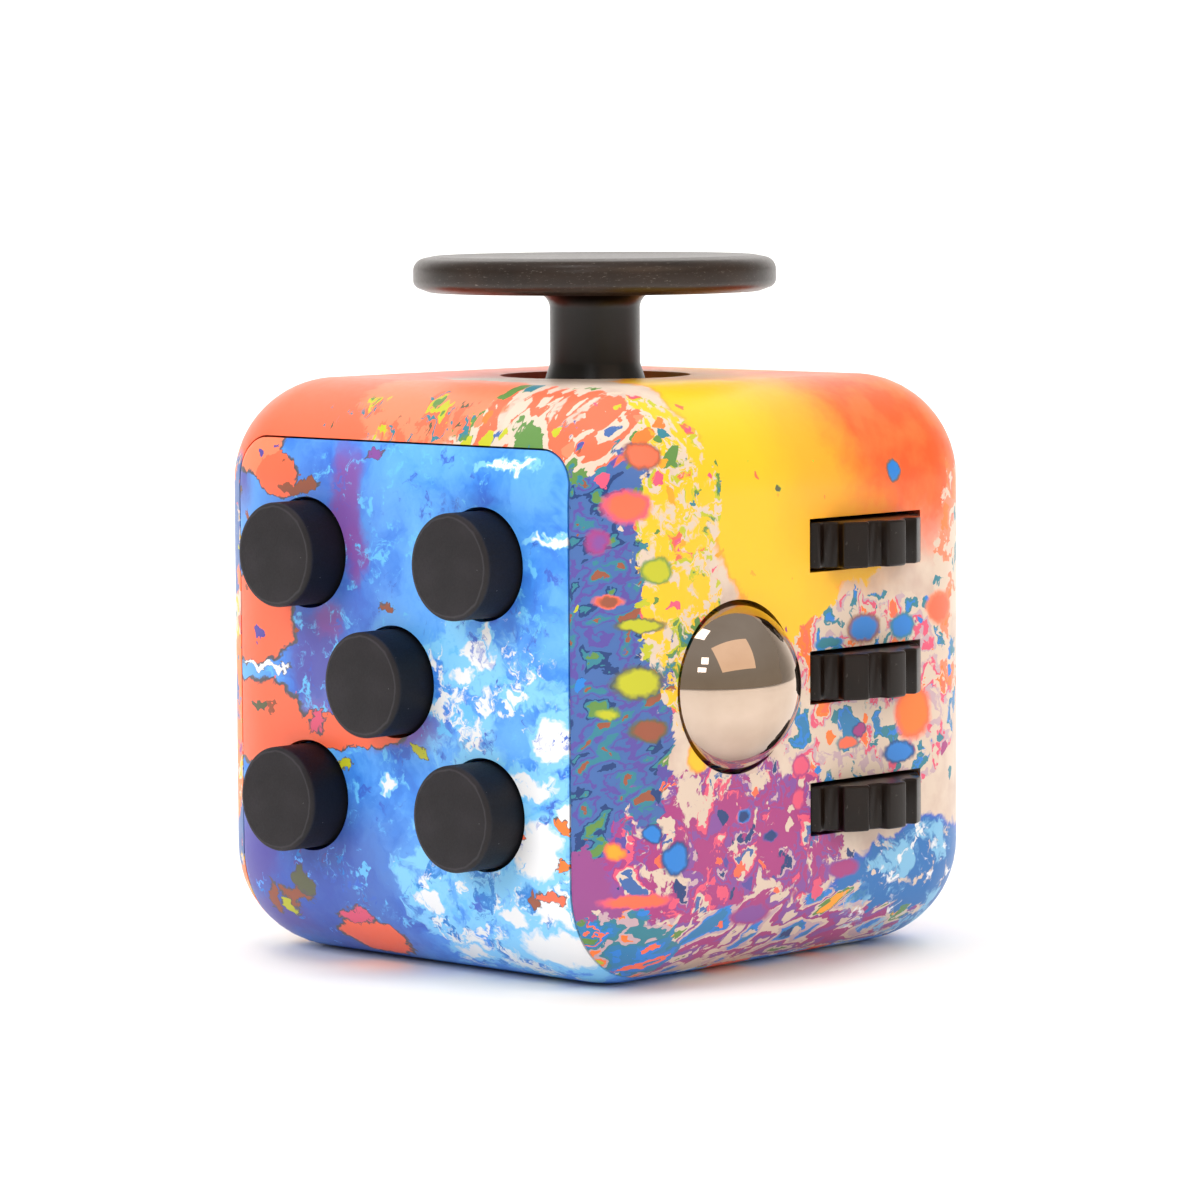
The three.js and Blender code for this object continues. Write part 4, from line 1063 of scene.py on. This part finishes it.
def add_world():
    world = bpy.data.worlds.new("studio")
    bpy.context.scene.world = world
    world.use_nodes = True
    n = Nodes(world.node_tree)
    up = n.add("SeparateXYZ", {"Vector": n.add("TexCoord").outputs["Generated"]}).outputs["Z"]
    sky = n.ramp(up, [(0.0, (0.86, 0.78, 0.65, 1)), (0.25, (0.84, 0.78, 0.68, 1)),
                      (0.7, (1.0, 0.99, 0.96, 1))])
    background = n.add("Background", {"Color": sky, "Strength": 0.42})
    n.plug(n.add("OutputWorld").inputs["Surface"], background.outputs[0])


def add_camera():
    data = bpy.data.cameras.new("camera")
    data.lens = LENS
    data.sensor_width = SENSOR
    data.clip_start = 0.01
    camera = bpy.data.objects.new("camera", data)
    level = Vector((math.sin(AZIMUTH), -math.cos(AZIMUTH), 0))
    place = CENTRE + DISTANCE * (level * math.cos(ELEVATION) + Z * math.sin(ELEVATION))
    target = CENTRE + Vector((math.cos(AZIMUTH), math.sin(AZIMUTH), 0)) * AIM_SIDE + Z * AIM_HEIGHT
    back = (place - target).normalized()
    right = Z.cross(back).normalized()
    up = back.cross(right)
    turned_right = math.cos(ROLL) * right + math.sin(ROLL) * up
    turned_up = -math.sin(ROLL) * right + math.cos(ROLL) * up
    turn = Matrix((turned_right, turned_up, back)).transposed().to_4x4()
    camera.matrix_world = Matrix.Translation(place) @ turn
    bpy.context.scene.collection.objects.link(camera)
    bpy.context.scene.camera = camera


add_stage()
add_world()
add_lamp("key", (-0.15, -0.55, 0.42), (0.4, 0.4), 2.55).visible_glossy = False
add_lamp("fill", (0.60, -0.02, 0.30), (0.4, 0.4), 1.3, (1.0, 0.97, 0.93)).visible_glossy = False
add_lamp("top", (0.0, 0.1, 0.7), (0.6, 0.6), 1.7).visible_glossy = False
BALL = CENTRE + middle_of("roll_ball") * MM
for lamp_name, direction, lamp_size, lamp_power, tint in (
    ("small_high", (0.064, -0.304, 0.951), (0.13, 0.16), 0.22, (1, 1, 1)),
    ("small_middle", (0.447, -0.676, 0.585), (0.09, 0.09), 0.09, (1, 1, 1)),
    ("small_low", (0.458, -0.789, 0.41), (0.11, 0.06), 0.08, (1, 1, 1)),
    ("warm_card", (0.751, -0.111, 0.651), (0.52, 0.40), 0.62, (1.0, 0.70, 0.47)),
):
    add_lamp(lamp_name, BALL + Vector(direction) * LAMP_REACH, lamp_size, lamp_power, tint, BALL)
back_wall = Vector((-math.sin(AZIMUTH), math.cos(AZIMUTH), 0))
for shift in (-0.45, 0.45):
    aside = Vector((math.cos(AZIMUTH), math.sin(AZIMUTH), 0)) * shift
    wall_lamp = add_lamp("wall", back_wall * 0.35 + aside + Z * 0.75, (0.5, 0.5), 6.5,
                         aim=back_wall + aside)
    wall_lamp.visible_glossy = False
add_camera()
bpy.context.scene.view_settings.view_transform = "Standard"
